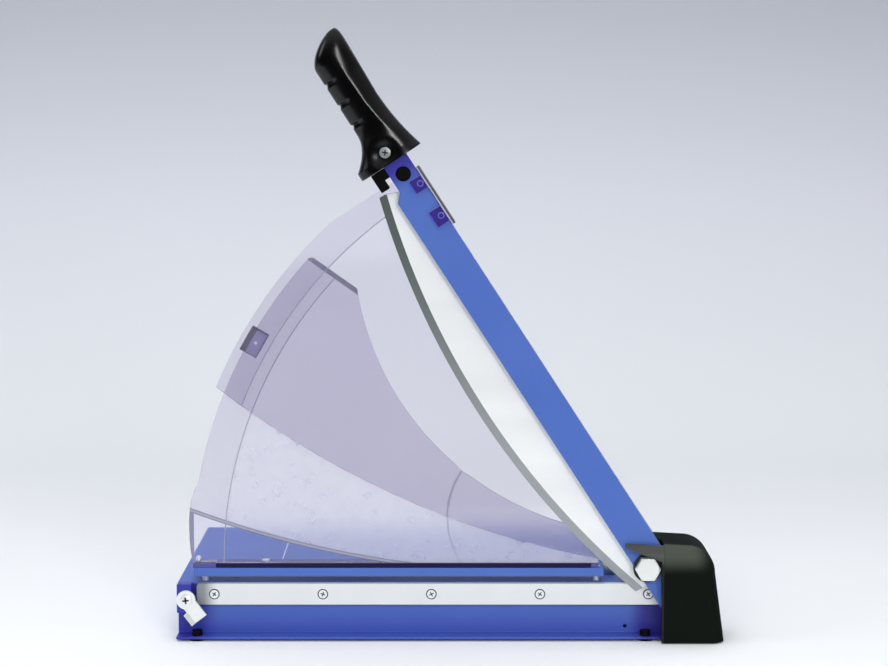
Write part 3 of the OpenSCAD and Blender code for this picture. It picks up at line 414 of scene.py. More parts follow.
# A light line just past the arm's back edge is a painted highlight on the hooks' edge, and the dark band past
# it is painted shade in the gap between hooks and arm.
hook_edge_light_and_gap_shade = [
    (beyond(ACROSS, on_line(ACROSS, ARM_HIGH + 0.1), on_line(ACROSS, ARM_HIGH + 0.3)), "#d9d6ee", 0.6, 0.2),
    (beyond(ACROSS, on_line(ACROSS, ARM_HIGH + 1.3), on_line(ACROSS, ARM_HIGH + 1.6)), "#55545f", 0.4, 0.2)]
finishes["hook_plastic"] = tinted("deep_violet_acrylic", ("#4a3bb4", "#5546bc"), 0.75, 0.15, hook_edge_light_and_gap_shade)
# The hooks' broken edges are lighter: a painted highlight.
finishes["hook_edge"] = tinted("deep_violet_acrylic_edge", ("#7a6fd2", "#877ddc"), 0.4, 0.25, hook_edge_light_and_gap_shade)
SHOE_ANGLE, SHOE_IN, SHOE_OUT, SHOE_HALF = radians(29.8), 379.5, 395.6, 11.5
SHOE_WAY = Vector((-cos(SHOE_ANGLE), 0, sin(SHOE_ANGLE)))
shoe_mid = HUB + SHOE_WAY * (SHOE_IN + SHOE_OUT - 3) / 2000
# A small light spot in the shoe's middle is a painted highlight of its boss. The shoe is darker beyond 390.5
# mm from the pivot and on its broken edges.
finishes["shoe_plastic"] = surfaced("violet_polycarbonate", ("#736f97", "#7c78a0"), 6, (0.3, 0.42), 0.8, 0.05,
                                    plain={"IOR": 1.58}, zones=[
    (outside(shoe_mid, 0.0018, 0.0009), "#aeabc9"), (outside(HUB, 0.3902, 0.3907), "#5a566d")])
finishes["shoe_edge"] = surfaced("violet_polycarbonate_edge", ("#4a4662", "#545070"), 4, (0.3, 0.42),
                                 0.8, 0.02, plain={"IOR": 1.58})
print("fan edge radius", round(FAN_R, 3), "m, window rib radius", round(WINDOW_R, 3), "m")

# %% [markdown]
# ## Breaking the edges
# No sheet or casting has a perfectly sharp edge, and the thin bright line along a broken edge is
# what makes metal look real. A copy of each CAD piece is merged into one skin, its flat faces are
# joined up, and a Bevel modifier rounds the edges by a few tenths of a millimetre. The copy then
# stands for the CAD piece and rides on the same body. Three arcs of the guards lie up to 16 mm
# off the photograph in the CAD model, so the copies of the two guards are bent onto the arcs above.


# %% Copies of CAD pieces with broken edges
MERGE, COPLANAR = 2e-6, radians(0.4)


def skin(node):
    """The CAD node's triangles as one merged skin with its flat faces joined."""
    cad = nodes[node].data
    form = bmesh.new()
    spots = [form.verts.new(v.co) for v in cad.vertices]
    for tri in cad.polygons:
        form.faces.new([spots[i] for i in tri.vertices])
    bmesh.ops.remove_doubles(form, verts=form.verts, dist=MERGE)
    bmesh.ops.dissolve_limit(form, angle_limit=COPLANAR, verts=form.verts, edges=form.edges)
    return form


def piece(name, form):
    """A new object from a bmesh, which is freed."""
    mesh = bpy.data.meshes.new(name)
    form.to_mesh(mesh)
    form.free()
    made = bpy.data.objects.new(name, mesh)
    scene.collection.objects.link(made)
    return made


def settle(made, angle=None):
    """Turn the modifiers into plain mesh; with an angle, smooth all but the sharper edges."""
    view = bpy.context.evaluated_depsgraph_get()
    plain = bpy.data.meshes.new_from_object(made.evaluated_get(view))
    made.modifiers.clear()
    made.data = plain
    if angle:
        plain.shade_smooth()
        plain.set_sharp_from_angle(angle=radians(angle))
    return made


slots = {row["node"]: row["material_slot"] for row in frame["record"]["subparts"]}


def stand_for(made, node, look=None):
    """Give a finished piece its look and let it stand for a CAD node."""
    if not made.data.materials:
        made.data.materials.append(finishes[look or slots[node]])
    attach(made, nodes[node]["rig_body"])
    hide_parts(node)
    return made


BROKEN, CREASED = radians(35), radians(20)
HUB_CLEAR, HUB_FADE = 0.055, 0.05


def arc_at(circle, axis, spot):
    """Where a circle passes a spot, measured along an axis."""
    (mid, radius), across = circle, 2 - axis
    half = max(0, radius ** 2 - (spot[across] - mid[across]) ** 2) ** 0.5
    return min((mid[axis] - half, mid[axis] + half), key=lambda c: abs(c - spot[axis]))


def rebend(form, old, new, axis, reach):
    """Move what lies along one arc onto another that starts and ends at about the same places."""
    for vert in form.verts:
        spot = Vector((vert.co.x, 0, vert.co.z))
        if abs((spot - old[0]).length - old[1]) < reach:
            share = max(0, min(1, ((spot - HUB).length - HUB_CLEAR) / HUB_FADE))
            vert.co[axis] += share * (arc_at(new, axis, spot) - arc_at(old, axis, spot))


cad_fan = mid_circle(polar(400, 22.7), polar(218, 18.1), polar(39.6, 5.7))
cad_window = mid_circle((393, 47), (310, 31), (212, 0.8))
cad_bow = (HUB, 0.177)
CAD_ARCS = {"upper_guard": [(cad_fan, (FAN_MID, FAN_R), 2, 0.0006)],
            "lower_guard": [(cad_window, (WINDOW_MID, WINDOW_R), 2, 0.0018),
                            (cad_bow, (BOW_MID, BOW_R), 0, 0.0018)]}


def edged(node, edge_mm, look=None, edge_look=None, pocket=None):
    """A copy of a CAD node with its edges broken, which may have a look of their own."""
    form = skin(node)
    for old, new, axis, reach in CAD_ARCS.get(node, []):
        rebend(form, old, new, axis, reach)
    for face in form.faces:
        face.smooth = True
    for edge in form.edges:
        edge.smooth = not (edge.is_manifold and CREASED < edge.calc_face_angle() < BROKEN)
    made = piece(node + "_edged", form)
    for name in (look or slots[node], edge_look):
        if name:
            made.data.materials.append(finishes[name])
    if pocket:
        made.modifiers.new("pocket", "BOOLEAN").object = pocket
    bevel = made.modifiers.new("broken_edges", "BEVEL")
    bevel.width = edge_mm / 1000
    bevel.segments = 2
    bevel.limit_method = "ANGLE"
    bevel.angle_limit = BROKEN
    bevel.use_clamp_overlap = False
    bevel.material = 1 if edge_look else -1
    even = made.modifiers.new("flat_faces", "WEIGHTED_NORMAL")
    even.keep_sharp = True
    return stand_for(settle(made), node)


widths = {"base_table": 0.5, "clamp_bar": 0.5, "catch": 0.35, "pivot_washer": 0.3, "side_fence": 0.5,
          "foot_strip": 0.3, "arm_buffer": 0.6, "rubber_feet": 0.4, "lock_nut": 0.3, "pivot_bracket": 0.4,
          "upper_blade": 0.12, "pivot_cover": 0.35, "lower_guard": 0.2}
for node, edge_mm in widths.items():
    edged(node, edge_mm)
edged("front_rail", 0.5, "rail_paint")
edged("stop_block", 0.6, "rail_paint")
edged("blade_arm", 0.6, "arm_paint")
edged("lower_blade", 0.3, "fixed_steel")
edged("cover_tongue", 0.3, "tongue_plastic")
LEDGE = 0.5
shoe_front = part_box("guide_shoe")[0].y
SHOE_UP = Vector((sin(SHOE_ANGLE), 0, cos(SHOE_ANGLE)))
pocket = bmesh.new()
bmesh.ops.create_cube(pocket, size=1)
for vert in pocket.verts:
    far = (SHOE_IN + LEDGE if vert.co.x < 0 else SHOE_OUT - LEDGE) / 1000
    side = (SHOE_HALF - LEDGE) / 1000 * (1 if vert.co.z > 0 else -1)
    deep = Vector((0, shoe_front + (0.001 if vert.co.y > 0 else -0.01), 0))
    vert.co = HUB + SHOE_WAY * far + SHOE_UP * side + deep
bmesh.ops.recalc_face_normals(pocket, faces=pocket.faces)
pocket = piece("shoe_pocket", pocket)
edged("upper_guard", 0.2, "fan_tint", pocket=pocket)
bpy.data.objects.remove(pocket)
edged("guide_shoe", 0.4, "shoe_plastic", "shoe_edge")
edged("guard_hooks", 0.45, "hook_plastic", "hook_edge")
blade = bpy.data.objects["upper_blade_edged"].data
blade.materials.append(finishes["ground_bevel"])
STEEP, SHALLOW, SLIVER = -0.97, -0.6, 2e-7
for face in blade.polygons:
    if STEEP < face.normal.y < SHALLOW and face.area > SLIVER:
        face.material_index = 1
print("edged copies:", sum(made.name.endswith("_edged") for made in scene.objects))

# %% [markdown]
# ## Screws with a cross recess
# Six sets of cross-head screws hold the cutter together. Each is a low domed head with a cross
# cut into it and a shank behind. A Geometry Nodes tree builds one head from named sizes and puts
# it on every point it is given, turned by a random angle, because a screw stops where it bites.


# %% A tree that sets screws on points
def new_tree(name, sizes):
    """An empty points-to-pieces tree with a named input for each size; returns it and its inputs."""
    tree = bpy.data.node_groups.new(name, "GeometryNodeTree")
    tree.interface.new_socket("Places", in_out="INPUT", socket_type="NodeSocketGeometry")
    for label, kind in sizes.items():
        tree.interface.new_socket(label, in_out="INPUT", socket_type="NodeSocket" + kind)
    tree.interface.new_socket("Pieces", in_out="OUTPUT", socket_type="NodeSocketGeometry")
    return tree, add(tree, "NodeGroupInput").outputs


screw_tree, size = new_tree("cross_head_screws", {
    "Head Radius": "Float", "Head Height": "Float", "Dome": "Float", "Cross Length": "Float",
    "Cross Width": "Float", "Cross Depth": "Float", "Shank Radius": "Float", "Shank Length": "Float",
    "Facing": "Vector", "Seed": "Int", "Cup Radius": "Float", "Finish": "Material", "Cup Finish": "Material"})
blank = add(screw_tree, "GeometryNodeMeshCylinder", {
    "Vertices": 36, "Fill Segments": 5, "Radius": size["Head Radius"], "Depth": size["Head Height"]},
    fill_type="TRIANGLE_FAN")
spot = add(screw_tree, "GeometryNodeInputPosition").outputs[0]
axes = add(screw_tree, "ShaderNodeSeparateXYZ", {0: spot}).outputs
flat = add(screw_tree, "ShaderNodeCombineXYZ", {"X": axes["X"], "Y": axes["Y"]}).outputs[0]
out = add(screw_tree, "ShaderNodeVectorMath", {0: flat}, operation="LENGTH").outputs["Value"]
share = add(screw_tree, "ShaderNodeMath", {0: out, 1: size["Head Radius"]}, operation="DIVIDE").outputs[0]
fall = add(screw_tree, "ShaderNodeMath", {0: share, 1: 2.0}, operation="POWER").outputs[0]
left = add(screw_tree, "ShaderNodeMath", {0: 1.0, 1: fall}, operation="SUBTRACT").outputs[0]
rise = add(screw_tree, "ShaderNodeMath", {0: left, 1: size["Dome"]}, operation="MULTIPLY").outputs[0]
lifted = add(screw_tree, "ShaderNodeCombineXYZ", {"Z": rise}).outputs[0]
above = add(screw_tree, "FunctionNodeCompare", {0: axes["Z"], 1: 0.0}, operation="GREATER_THAN").outputs[0]
dome = add(screw_tree, "GeometryNodeSetPosition", {
    "Geometry": blank.outputs["Mesh"], "Selection": above, "Offset": lifted}).outputs[0]
half = add(screw_tree, "ShaderNodeMath", {0: size["Head Height"], 1: 0.5}, operation="MULTIPLY").outputs[0]
deep = add(screw_tree, "ShaderNodeMath", {0: size["Cross Depth"], 1: 2.0}, operation="MULTIPLY").outputs[0]
top = add(screw_tree, "ShaderNodeMath", {0: half, 1: size["Dome"]}, operation="ADD").outputs[0]
top_at = add(screw_tree, "ShaderNodeCombineXYZ", {"Z": top}).outputs[0]
bars = []
for way in (("Cross Length", "Cross Width"), ("Cross Width", "Cross Length")):
    bar = add(screw_tree, "ShaderNodeCombineXYZ", {"X": size[way[0]], "Y": size[way[1]], "Z": deep})
    box = add(screw_tree, "GeometryNodeMeshCube", {"Size": bar.outputs[0]})
    lowered = add(screw_tree, "GeometryNodeTransform", {
        "Geometry": box.outputs["Mesh"], "Translation": top_at}).outputs[0]
    bars.append(add(screw_tree, "GeometryNodeStoreNamedAttribute", {
        "Geometry": lowered, "Name": "cup", "Value": True}, data_type="BOOLEAN", domain="FACE").outputs[0])
plain_dome = add(screw_tree, "GeometryNodeStoreNamedAttribute", {
    "Geometry": dome, "Name": "cup", "Value": False}, data_type="BOOLEAN", domain="FACE").outputs[0]
crossed = add(screw_tree, "GeometryNodeMeshBoolean", {"Mesh 1": plain_dome, "Mesh 2": bars},
              operation="DIFFERENCE").outputs[0]
shank = add(screw_tree, "GeometryNodeMeshCylinder", {
    "Vertices": 24, "Radius": size["Shank Radius"], "Depth": size["Shank Length"]})
reach = add(screw_tree, "ShaderNodeMath", {0: size["Shank Length"], 1: -0.5}, operation="MULTIPLY").outputs[0]
reach_at = add(screw_tree, "ShaderNodeCombineXYZ", {"Z": reach}).outputs[0]
sunk = add(screw_tree, "GeometryNodeTransform", {
    "Geometry": shank.outputs["Mesh"], "Translation": reach_at}).outputs[0]
# A dark disc just under the head shows as a dark ring round it: painted shade in the gap between head and
# countersink.
cup = add(screw_tree, "GeometryNodeMeshCylinder", {
    "Vertices": 36, "Radius": size["Cup Radius"], "Depth": size["Head Height"]})
shade_disc_low = add(screw_tree, "GeometryNodeTransform", {
    "Geometry": cup.outputs["Mesh"], "Translation": (0, 0, -0.00015)}).outputs[0]
shade_disc_marked = add(screw_tree, "GeometryNodeStoreNamedAttribute", {
    "Geometry": shade_disc_low, "Name": "cup", "Value": True}, data_type="BOOLEAN", domain="FACE").outputs[0]
has_shade_disc = add(screw_tree, "FunctionNodeCompare", {0: size["Cup Radius"], 1: 0.0},
              operation="GREATER_THAN").outputs[0]
shade_disc_or_none = add(screw_tree, "GeometryNodeSwitch", {"Switch": has_shade_disc, "True": shade_disc_marked}).outputs[0]
screw = add(screw_tree, "GeometryNodeJoinGeometry", {0: [crossed, sunk, shade_disc_or_none]}).outputs[0]
placed = add(screw_tree, "GeometryNodeInstanceOnPoints", {
    "Points": size["Places"], "Instance": screw, "Rotation": size["Facing"]}).outputs[0]
turn = add(screw_tree, "FunctionNodeRandomValue", {2: 0.0, 3: 2 * pi, "Seed": size["Seed"]})
turn_at = add(screw_tree, "ShaderNodeCombineXYZ", {"Z": turn.outputs[1]}).outputs[0]
spun = add(screw_tree, "GeometryNodeRotateInstances", {"Instances": placed, "Rotation": turn_at}).outputs[0]
whole = add(screw_tree, "GeometryNodeRealizeInstances", {0: spun}).outputs[0]
bright = add(screw_tree, "GeometryNodeSetMaterial", {
    "Geometry": whole, "Material": size["Finish"]}).outputs[0]
# The cross recess and the disc take a black finish: painted shade.
is_painted_shade = add(screw_tree, "GeometryNodeInputNamedAttribute", {"Name": "cup"}, data_type="BOOLEAN").outputs[0]
dressed = add(screw_tree, "GeometryNodeSetMaterial", {
    "Geometry": bright, "Selection": is_painted_shade, "Material": size["Cup Finish"]}).outputs[0]
add(screw_tree, "NodeGroupOutput", {0: dressed})
print("screw tree:", len(screw_tree.nodes), "nodes")

# %% [markdown]
# ## Setting the screws
# The CAD solids say where each screw sits. Their separate islands give the points, the tree puts
# a head on each, and the result becomes one plain mesh per kind. The blade's screws lie a hair
# under the face, because the moving blade passes two tenths of a millimetre in front of it.


# %% Screws on the islands of the CAD nodes
def islands(node):
    """The boxes of a CAD node's separate solids, from left to right."""
    form = skin(node)
    waiting = set(form.verts)
    found = []
    while waiting:
        edge, spots = [waiting.pop()], []
        while edge:
            vert = edge.pop()
            spots.append(vert.co.copy())
            near = {e.other_vert(vert) for e in vert.link_edges} & waiting
            waiting -= near
            edge += near
        found.append((Vector(map(min, *spots)), Vector(map(max, *spots))))
    form.free()
    return sorted(found, key=lambda box: box[0].x)


def grown(name, tree, spots, values):
    """A tree's pieces on some points, as one plain mesh."""
    mesh = bpy.data.meshes.new(name)
    mesh.from_pydata(spots, [], [])
    made = bpy.data.objects.new(name, mesh)
    scene.collection.objects.link(made)
    modifier = made.modifiers.new("grown", "NODES")
    modifier.node_group = tree
    for socket in tree.interface.items_tree:
        if socket.name in values:
            modifier[socket.identifier] = values[socket.name]
    return settle(made, 32)


facings = {"front": (pi / 2, 0, 0), "back": (-pi / 2, 0, 0), "top": (0, 0, 0)}
toward = {"front": Vector((0, -1, 0)), "back": Vector((0, 1, 0)), "top": Vector((0, 0, 1))}


def set_screws(node, side, head_mm, cross_mm, seed, sunk_mm=0.02, shade_disc_mm=0.0, boxes=None, label="_heads",
               finish="zinc_screws"):
    """Screws for a CAD node: head is radius, height and dome, cross is length, width and depth."""
    boxes = boxes or islands(node)
    radius, height, dome = (mm / 1000 for mm in head_mm)
    spots, lengths = [], []
    for low, high in boxes:
        face = Vector((low + high) / 2)
        axis = 2 if side == "top" else 1
        face[axis] = low[axis] if side == "front" else high[axis]
        spots.append(face - toward[side] * (sunk_mm / 1000 + dome + height / 2))
        lengths.append(high[axis] - low[axis])
    made = grown(node + label, screw_tree, spots, {
        "Head Radius": radius, "Head Height": height, "Dome": dome, "Cross Length": cross_mm[0] / 1000,
        "Cross Width": cross_mm[1] / 1000, "Cross Depth": cross_mm[2] / 1000, "Shank Radius": radius * 0.55,
        "Shank Length": min(lengths) - height - dome, "Facing": facings[side], "Seed": seed,
        "Cup Radius": shade_disc_mm / 1000, "Finish": finishes[finish], "Cup Finish": finishes["black_oxide"]})
    return stand_for(made, node)


# The fixed blade's screws get a disc of painted shade round their heads.
set_screws("lower_blade_screws", "front", (3.7, 0.8, 0.08), (4.2, 0.9, 0.6), 3, shade_disc_mm=4.8)
set_screws("catch_screw", "front", (4.7, 1.5, 1.0), (5.6, 1.5, 1.3), 5)
set_screws("handle_screw", "front", (4.7, 2.4, 0.5), (5.2, 1.1, 1.0), 8, finish="dull_zinc")
set_screws("fence_screws", "top", (4.2, 1.2, 0.1), (5.0, 1.1, 0.9), 4)
set_screws("blade_screws", "back", (3.7, 1.0, 0.08), (4.4, 1.0, 0.7), 6)
ends = islands("guard_screws")
set_screws("guard_screws", "top", (3.5, 1.1, 1.4), (4.0, 0.9, 0.9), 2, boxes=ends[1:])
set_screws("guard_screws", "top", (2.6, 2.4, 2.2), (1.2, 0.5, 0.4), 2, boxes=ends[:1], label="_end_knob")
heads = [made.name for made in scene.objects if made.name.endswith(("_heads", "_knob"))]
print("screw pieces:", len(heads))

# %% [markdown]
# ## Return springs
# Two small compression springs in blind sleeves push the clamp bar up again. A spring is a wire
# swept along a helix, which Geometry Nodes draws with a spiral curve and a round profile. When
# the clamp goes down the coil closes.

# %% Wind the springs
spring_tree, size = new_tree("wound_springs", {
    "Coil Radius": "Float", "Wire Radius": "Float", "Turns": "Float", "Height": "Float",
    "Finish": "Material"})
helix = add(spring_tree, "GeometryNodeCurveSpiral", {
    "Resolution": 28, "Rotations": size["Turns"], "Start Radius": size["Coil Radius"],
    "End Radius": size["Coil Radius"], "Height": size["Height"]}).outputs[0]
wire = add(spring_tree, "GeometryNodeCurvePrimitiveCircle", {
    "Resolution": 12, "Radius": size["Wire Radius"]})
coil = add(spring_tree, "GeometryNodeCurveToMesh", {
    "Curve": helix, "Profile Curve": wire.outputs[0], "Fill Caps": True}).outputs[0]
pair = add(spring_tree, "GeometryNodeInstanceOnPoints", {
    "Points": size["Places"], "Instance": coil}).outputs[0]
solid = add(spring_tree, "GeometryNodeRealizeInstances", {0: pair}).outputs[0]
sprung = add(spring_tree, "GeometryNodeSetMaterial", {
    "Geometry": solid, "Material": size["Finish"]}).outputs[0]
add(spring_tree, "NodeGroupOutput", {0: sprung})
WIRE = 0.0004
wells = islands("return_springs")
low, high = wells[0]
spring_feet = [Vector(((a.x + b.x) / 2, (a.y + b.y) / 2, a.z + WIRE)) for a, b in wells]
springs = grown("return_springs_wound", spring_tree, spring_feet, {
    "Coil Radius": (high.x - low.x) / 2 - WIRE, "Wire Radius": WIRE, "Turns": 6.0,
    "Height": high.z - low.z - 2 * WIRE, "Finish": finishes["bolt_steel"]})
stand_for(springs, "return_springs")
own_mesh(springs)
print("springs:", len(spring_feet), "of", round((high.z - low.z) * 1000, 1), "mm")

# %% [markdown]
# ## Bolt head and handle from rings
# A hex head is turned before it is cut, so a cone trims its six corners. The handle is a moulded
# grip with a soft crease along its side, three finger notches and a dish round its screw. Both
# are easiest as a stack of rings joined into a skin, each ring drawn by a small rule.


# %% Rings joined into a skin
def loft(rings):
    """A closed skin over rings of equally many points."""
    form = bmesh.new()
    rows = [[form.verts.new(p) for p in ring] for ring in rings]
    for a, b in zip(rows, rows[1:]):
        for k in range(len(a)):
            n = (k + 1) % len(a)
            form.faces.new((a[k], a[n], b[n], b[k]))
    form.faces.new(rows[0][::-1])
    form.faces.new(rows[-1])
    bmesh.ops.recalc_face_normals(form, faces=form.faces)
    return form


low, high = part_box("pivot_bolt")
HEAD_H, FLAT, SHANK_R = 0.0075, 0.0095, 0.006
step = radians(5)
turns = [k * step for k in range(72)]
hexagon = [FLAT / cos(a % radians(60) - radians(30)) for a in turns]


def round_bolt(radii, depths):
    """A ring round the bolt's axis with its own radius and depth at every turn."""
    return [Vector((PIVOT.x + r * cos(a), low.y + d, PIVOT.z + r * sin(a)))
            for a, r, d in zip(turns, radii, depths)]


chamfer = [(r - FLAT * 0.94) * 0.5 for r in hexagon]
bolt = piece("pivot_bolt_turned", loft([
    round_bolt([FLAT * 0.94] * 72, [0] * 72), round_bolt(hexagon, chamfer),
    round_bolt(hexagon, [HEAD_H] * 72), round_bolt([SHANK_R] * 72, [HEAD_H] * 72),
    round_bolt([SHANK_R] * 72, [high.y - low.y - 0.001] * 72),
    round_bolt([SHANK_R - 0.001] * 72, [high.y - low.y] * 72)]))
stand_for(settle(bolt, 20), "pivot_bolt")
print("bolt head", round(2 * FLAT * 1000), "mm across its flats")

# %% The handle
GRIP_U, GRIP_LEN, GRIP_DEPTH, GRIP_LOW, GRIP_W = 409, 121.5, 33.5, 6.5, 28
ARM_MID = -8.2
SCREW_U, SCREW_V = GRIP_U + 10, 5.6
GROOVES = (43.4, 63.4, 83.6)
GROOVE_DEEP, GROOVE_WALL, GROOVE_SLOPE = 1.8, 1.4, 3.5
TIP_LEN, FLARE, DISH_R, DISH_DEEP = 23.5, 17.5, 13, 3.4
GRIP_SIDES = 72


def on_arm(u, v, y):
    """A point of the raised arm, in millimetres along it, across it and behind the cut."""
    left = u * cos(ARM_ANGLE) - v * sin(ARM_ANGLE)
    up = u * sin(ARM_ANGLE) + v * cos(ARM_ANGLE)
    return PIVOT + Vector((-left, y, up)) / 1000


def ease(t):
    """A smooth step from 0 to 1."""
    t = max(0, min(1, t))
    return t * t * (3 - 2 * t)


def groove(past):
    """Depth of a finger groove at a distance past its deepest line: a steep wall above, a slope below."""
    return GROOVE_DEEP * max(0, 1 - (past / GROOVE_WALL if past > 0 else -past / GROOVE_SLOPE))


def grip_ring(u, inset=0.0):
    """The handle's section at a distance u along the arm."""
    end, tip = GRIP_U + GRIP_LEN, GRIP_U + GRIP_LEN - TIP_LEN
    t = max(0, min(0.985, (u - tip) / (end - tip)))
    high = GRIP_DEPTH - GRIP_LOW
    cut = max(groove(u - GRIP_U - n) for n in GROOVES)
    flare = min(FLARE, FLARE * (max(0, GRIP_U + 35 - u) / 28) ** 2)
    finger = high - GRIP_DEPTH * (1 - t ** 1.6) ** (1 / 1.6) - flare + inset
    back = high + 8 * (max(0, GRIP_U + 57 - u) / 57) ** 2 + 2.5 * max(0, min(1, (u - GRIP_U - 57) / 60))
    back -= 2 * t ** 4 + 1.4 * t ** 10 + inset
    wide = GRIP_W / 2 * (1 - t ** 2.4) ** (1 / 2.4) + 1.5 * (max(0, GRIP_U + 30 - u) / 30) ** 2 - inset
    ridge = ease((u - GRIP_U - 18) / 22) * ease((end - 12 - u) / 30)
    ridge_v = back - 10.3 - 4.5 * max(0, min(1, (u - GRIP_U - 30) / 52))
    half = (back - finger) / 2
    ring = []
    for k in range(GRIP_SIDES):
        a = 2 * pi * k / GRIP_SIDES
        across, out = (abs(s) ** 0.8 * (1 if s > 0 else -1) for s in (cos(a), sin(a)))
        v = (finger + back) / 2 + half * across
        kink = abs(v - ridge_v) / half
        y = wide * out * (1 - 0.3 * ridge * kink)
        y -= y * 0.16 * cut / GROOVE_DEEP * ease((-0.3 - across) / 0.35)
        v += cut * ease((-0.5 - across) / 0.35)
        dish = ease(1.25 - ((u - SCREW_U + 1) ** 2 + (v - SCREW_V + 1.5) ** 2) ** 0.5 / DISH_R)
        if out < 0:
            y += dish * DISH_DEEP * min(1, -out)
        ring.append(on_arm(u, v, ARM_MID + y))
    return ring


stations = [(GRIP_U, 0.8), (GRIP_U + 0.3, 0.25)]
stations += [(GRIP_U + 1 + i * 0.5, 0) for i in range(int(2 * GRIP_LEN - 4))]
stations += [(GRIP_U + GRIP_LEN - 1.2, 0.4), (GRIP_U + GRIP_LEN - 1, 0.9)]
grip = piece("handle_moulded", loft([grip_ring(u, inset) for u, inset in stations]))
tang_spans = ((GRIP_U - 2, GRIP_U + 44.3), (-2.55, 20.05), (-12.25, -4.15))
tang = bmesh.new()
bmesh.ops.create_cube(tang, size=1)
for vert in tang.verts:
    vert.co = on_arm(*(span[0] if c < 0 else span[1] for c, span in zip(vert.co, tang_spans)))
bmesh.ops.recalc_face_normals(tang, faces=tang.faces)
BORE_R, BORE_LEN = 0.0052, 0.03
bore_at = Matrix.Translation(on_arm(SCREW_U, SCREW_V, ARM_MID - 24)) @ Matrix.Rotation(pi / 2, 4, "X")
bore = bmesh.new()
bmesh.ops.create_cone(bore, cap_ends=True, segments=48, radius1=BORE_R, radius2=BORE_R, depth=BORE_LEN,
                      matrix=bore_at)
cutters = [piece("tang_slot", tang), piece("screw_bore", bore)]
for cutter in cutters:
    carve = grip.modifiers.new(cutter.name, "BOOLEAN")
    carve.object = cutter
settle(grip, 40)
for cutter in cutters:
    bpy.data.objects.remove(cutter)
stand_for(grip, "handle", "handle_nylon")
print("handle:", len(grip.data.polygons), "faces")

# %% [markdown]
# ## Pieces that keep their CAD shape
# Some pieces sit deep inside and are already right: posts, sleeves, spacer, bush and disc springs.
# They only need the finish of what they are made of.

# %% Finishes on plain CAD pieces
shown = {"guide_posts", "guide_sleeves", "pivot_spacer", "disc_springs", "arm_bush"}
for node in sorted(shown):
    nodes[node].data.materials.clear()
    nodes[node].data.materials.append(finishes[slots[node]])
print("plain CAD pieces:", len(shown))

# %% [markdown]
# ## Marks on the table
# The table carries a white measuring line of ink behind the clamp, and small dark oblongs lie
# under the clamp. Each mark is a flat plate a few hundredths of a millimetre high, as thin as ink.


# %% Printed marks
MARK_THICKNESS = 0.00006


def flat_marks(name, spans_mm, look, rounded=False):
    """Flat marks from their spans left of the pivot and behind the cut, in millimetres."""
    form = bmesh.new()
    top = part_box("base_table")[1].z
    for (l0, l1), (b0, b1) in spans_mm:
        mid = Vector((PIVOT.x - (l0 + l1) / 2000, PIVOT.y + (b0 + b1) / 2000, top + MARK_THICKNESS / 2))
        made = bmesh.ops.create_cone(form, cap_ends=True, segments=24 if rounded else 4, radius1=0.5,
                                     radius2=0.5, depth=MARK_THICKNESS)["verts"]
        for vert in made:
            if not rounded:
                vert.co.x, vert.co.y = (0.5 if vert.co.x + vert.co.y > 0 else -0.5,
                                        0.5 if vert.co.y - vert.co.x > 0 else -0.5)
            vert.co = mid + Vector((vert.co.x * (l1 - l0) / 1000, vert.co.y * (b1 - b0) / 1000, vert.co.z))
    bmesh.ops.recalc_face_normals(form, faces=form.faces)
    made = piece(name, form)
    made.data.materials.append(finishes[look])
    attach(made, "base")
    return made


flat_marks("measure_line", [((320.2, 321.0), (60, 235))], "white_ink")
flat_marks("stop_marks", [((358, 364), (8, 10.5)), ((350.5, 358), (22, 25)), ((62, 69), (6, 8)),
                       ((55, 62), (15, 17.5))], "black_ink", True)
print("printed pieces: 2")

# %% [markdown]
# ## Backdrop and light
# The picture was taken on a pale sweep that runs up behind the cutter, under large soft lamps.
# The sweep is white at the floor and a cool grey higher up, and clear from behind, so that the
# cutter can be looked at from every side. Its floor ends about 0.6 m in front of the cutter, because
# black plastic would mirror more of it. Six area lamps and a pale world give the soft light. The world
# shows a pale tone to the camera and through the guards, and to mirrors only above and behind.

# %% The sweep
NEAR, DEEP, WIDE, BEND, TALL = -0.75, 1.5, 4.0, 0.7, 2.6
sweep = bmesh.new()
line = [(NEAR, 0.0), (DEEP - BEND, 0.0)]
line += [(DEEP - BEND + BEND * sin(a), BEND - BEND * cos(a)) for a in (radians(d) for d in range(6, 91, 6))]
line += [(DEEP, TALL)]
rows = [[sweep.verts.new((x, y, z)) for x in (-WIDE, WIDE)] for y, z in line]
for a, b in zip(rows, rows[1:]):
    sweep.faces.new((a[0], a[1], b[1], b[0]))
backdrop = piece("pale_sweep", sweep)
backdrop.data.shade_smooth()
paper = bpy.data.materials.new("sweep_paper")
paper.use_nodes = True
tree = paper.node_tree
place = add(tree, "ShaderNodeTexCoord").outputs["Object"]
height = add(tree, "ShaderNodeVectorMath", {0: place, 1: (0, 0.12, 1)},
             operation="DOT_PRODUCT").outputs["Value"]
climb = add(tree, "ShaderNodeMapRange", {"Value": height, "From Min": -0.03, "From Max": 0.78})
tones = add(tree, "ShaderNodeValToRGB", {"Fac": climb.outputs[0]})
ramp = tones.color_ramp
ramp.elements[0].color = srgb("#eef0f2")
ramp.elements[1].color = srgb("#b0b4bd")
ramp.elements.new(0.12).color = srgb("#dfe2e6")
ramp.elements.new(0.4).color = srgb("#d3d7dd")
ramp.elements.new(0.63).color = srgb("#cacdd5")
card = tree.nodes["Principled BSDF"]
tree.links.new(tones.outputs["Color"], card.inputs["Base Color"])
card.inputs["Roughness"].default_value = 0.9
behind = add(tree, "ShaderNodeNewGeometry").outputs["Backfacing"]
nothing = add(tree, "ShaderNodeBsdfTransparent").outputs[0]
one_way = add(tree, "ShaderNodeMixShader", {0: behind, 1: card.outputs[0], 2: nothing})
tree.links.new(one_way.outputs[0], tree.nodes["Material Output"].inputs["Surface"])
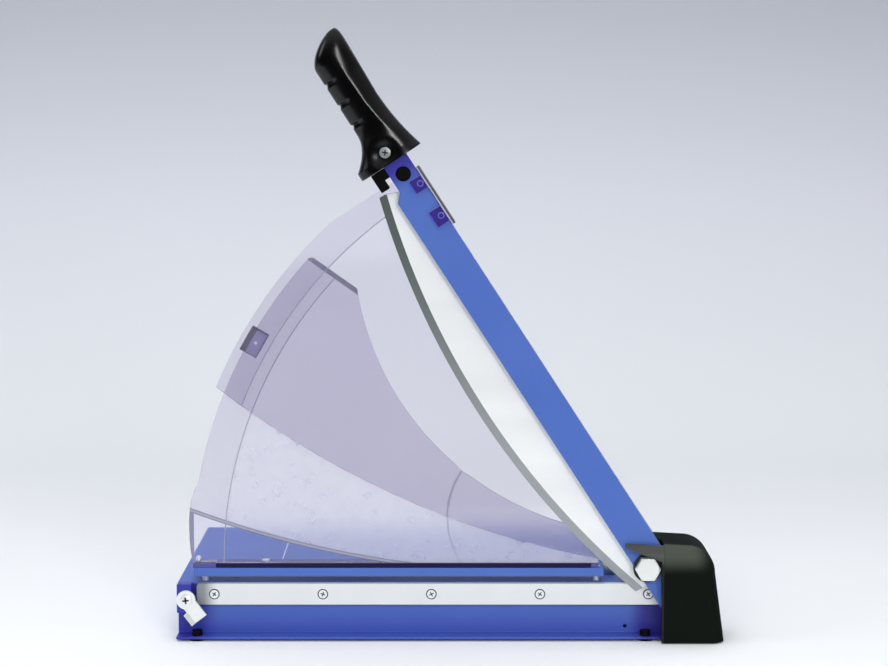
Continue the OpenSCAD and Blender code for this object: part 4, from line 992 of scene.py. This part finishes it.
backdrop.data.materials.append(paper)
print("sweep:", len(line), "rows")


# %% Lamps and world
def lamp(name, place, aim, power, size, mirrored=True):
    """A square area lamp that looks at a point; a soft fill isn't mirrored in glossy pieces."""
    light = bpy.data.lights.new(name, "AREA")
    light.energy, light.size = power, size
    made = bpy.data.objects.new(name, light)
    made.location = place
    made.rotation_euler = (Vector(aim) - Vector(place)).to_track_quat("-Z", "Y").to_euler()
    made.visible_glossy = mirrored
    scene.collection.objects.link(made)


lamp("front_high", (0.84, -2.56, 1.05), (0, 0, 0.25), 18, 0.55)
lamp("front_soft", (-0.4, -2.6, 1.0), (0, 0, 0.25), 26, 1.8, mirrored=False)
lamp("top_soft", (-0.3, -0.7, 2.5), (0, 0, 0.1), 20, 2.2, mirrored=False)
lamp("side_left", (-2.3, -0.7, 1.5), (0, 0, 0.25), 12, 1.2)
lamp("side_right", (1.9, -1.6, 1.2), (0, 0, 0.2), 3, 1.5, mirrored=False)
lamp("top_back", (0, 0.5, 2.4), (0, 0.2, 0), 24, 2.0, mirrored=False)
world = bpy.data.worlds.new("pale_room")
world.use_nodes = True
scene.world = world
tree = world.node_tree
FILL, PALE, DARK_SIDE, BRIGHT_SIDE = 0.34, 0.98, 0.04, 0.8
path = add(tree, "ShaderNodeLightPath").outputs
seen = add(tree, "ShaderNodeMath", {0: path["Is Camera Ray"], 1: path["Is Transmission Ray"]},
           operation="MAXIMUM")
way = add(tree, "ShaderNodeSeparateXYZ", {0: add(tree, "ShaderNodeTexCoord").outputs["Generated"]}).outputs
lit = add(tree, "ShaderNodeMath", {0: way["Y"], 1: way["Z"]}, operation="MAXIMUM")
walls = add(tree, "ShaderNodeMapRange", {"Value": lit.outputs[0], "From Min": 0.3, "From Max": 0.8,
                                         "To Min": DARK_SIDE, "To Max": BRIGHT_SIDE})
level = add(tree, "ShaderNodeMix", {0: path["Is Glossy Ray"], 2: FILL, 3: walls.outputs[0]}).outputs[0]
level = add(tree, "ShaderNodeMix", {0: seen.outputs[0], 2: level, 3: PALE})
room = tree.nodes["Background"]
room.inputs["Color"].default_value = srgb("#f1f2f5")
tree.links.new(level.outputs[0], room.inputs["Strength"])
print("lamps:", len(bpy.data.lights))
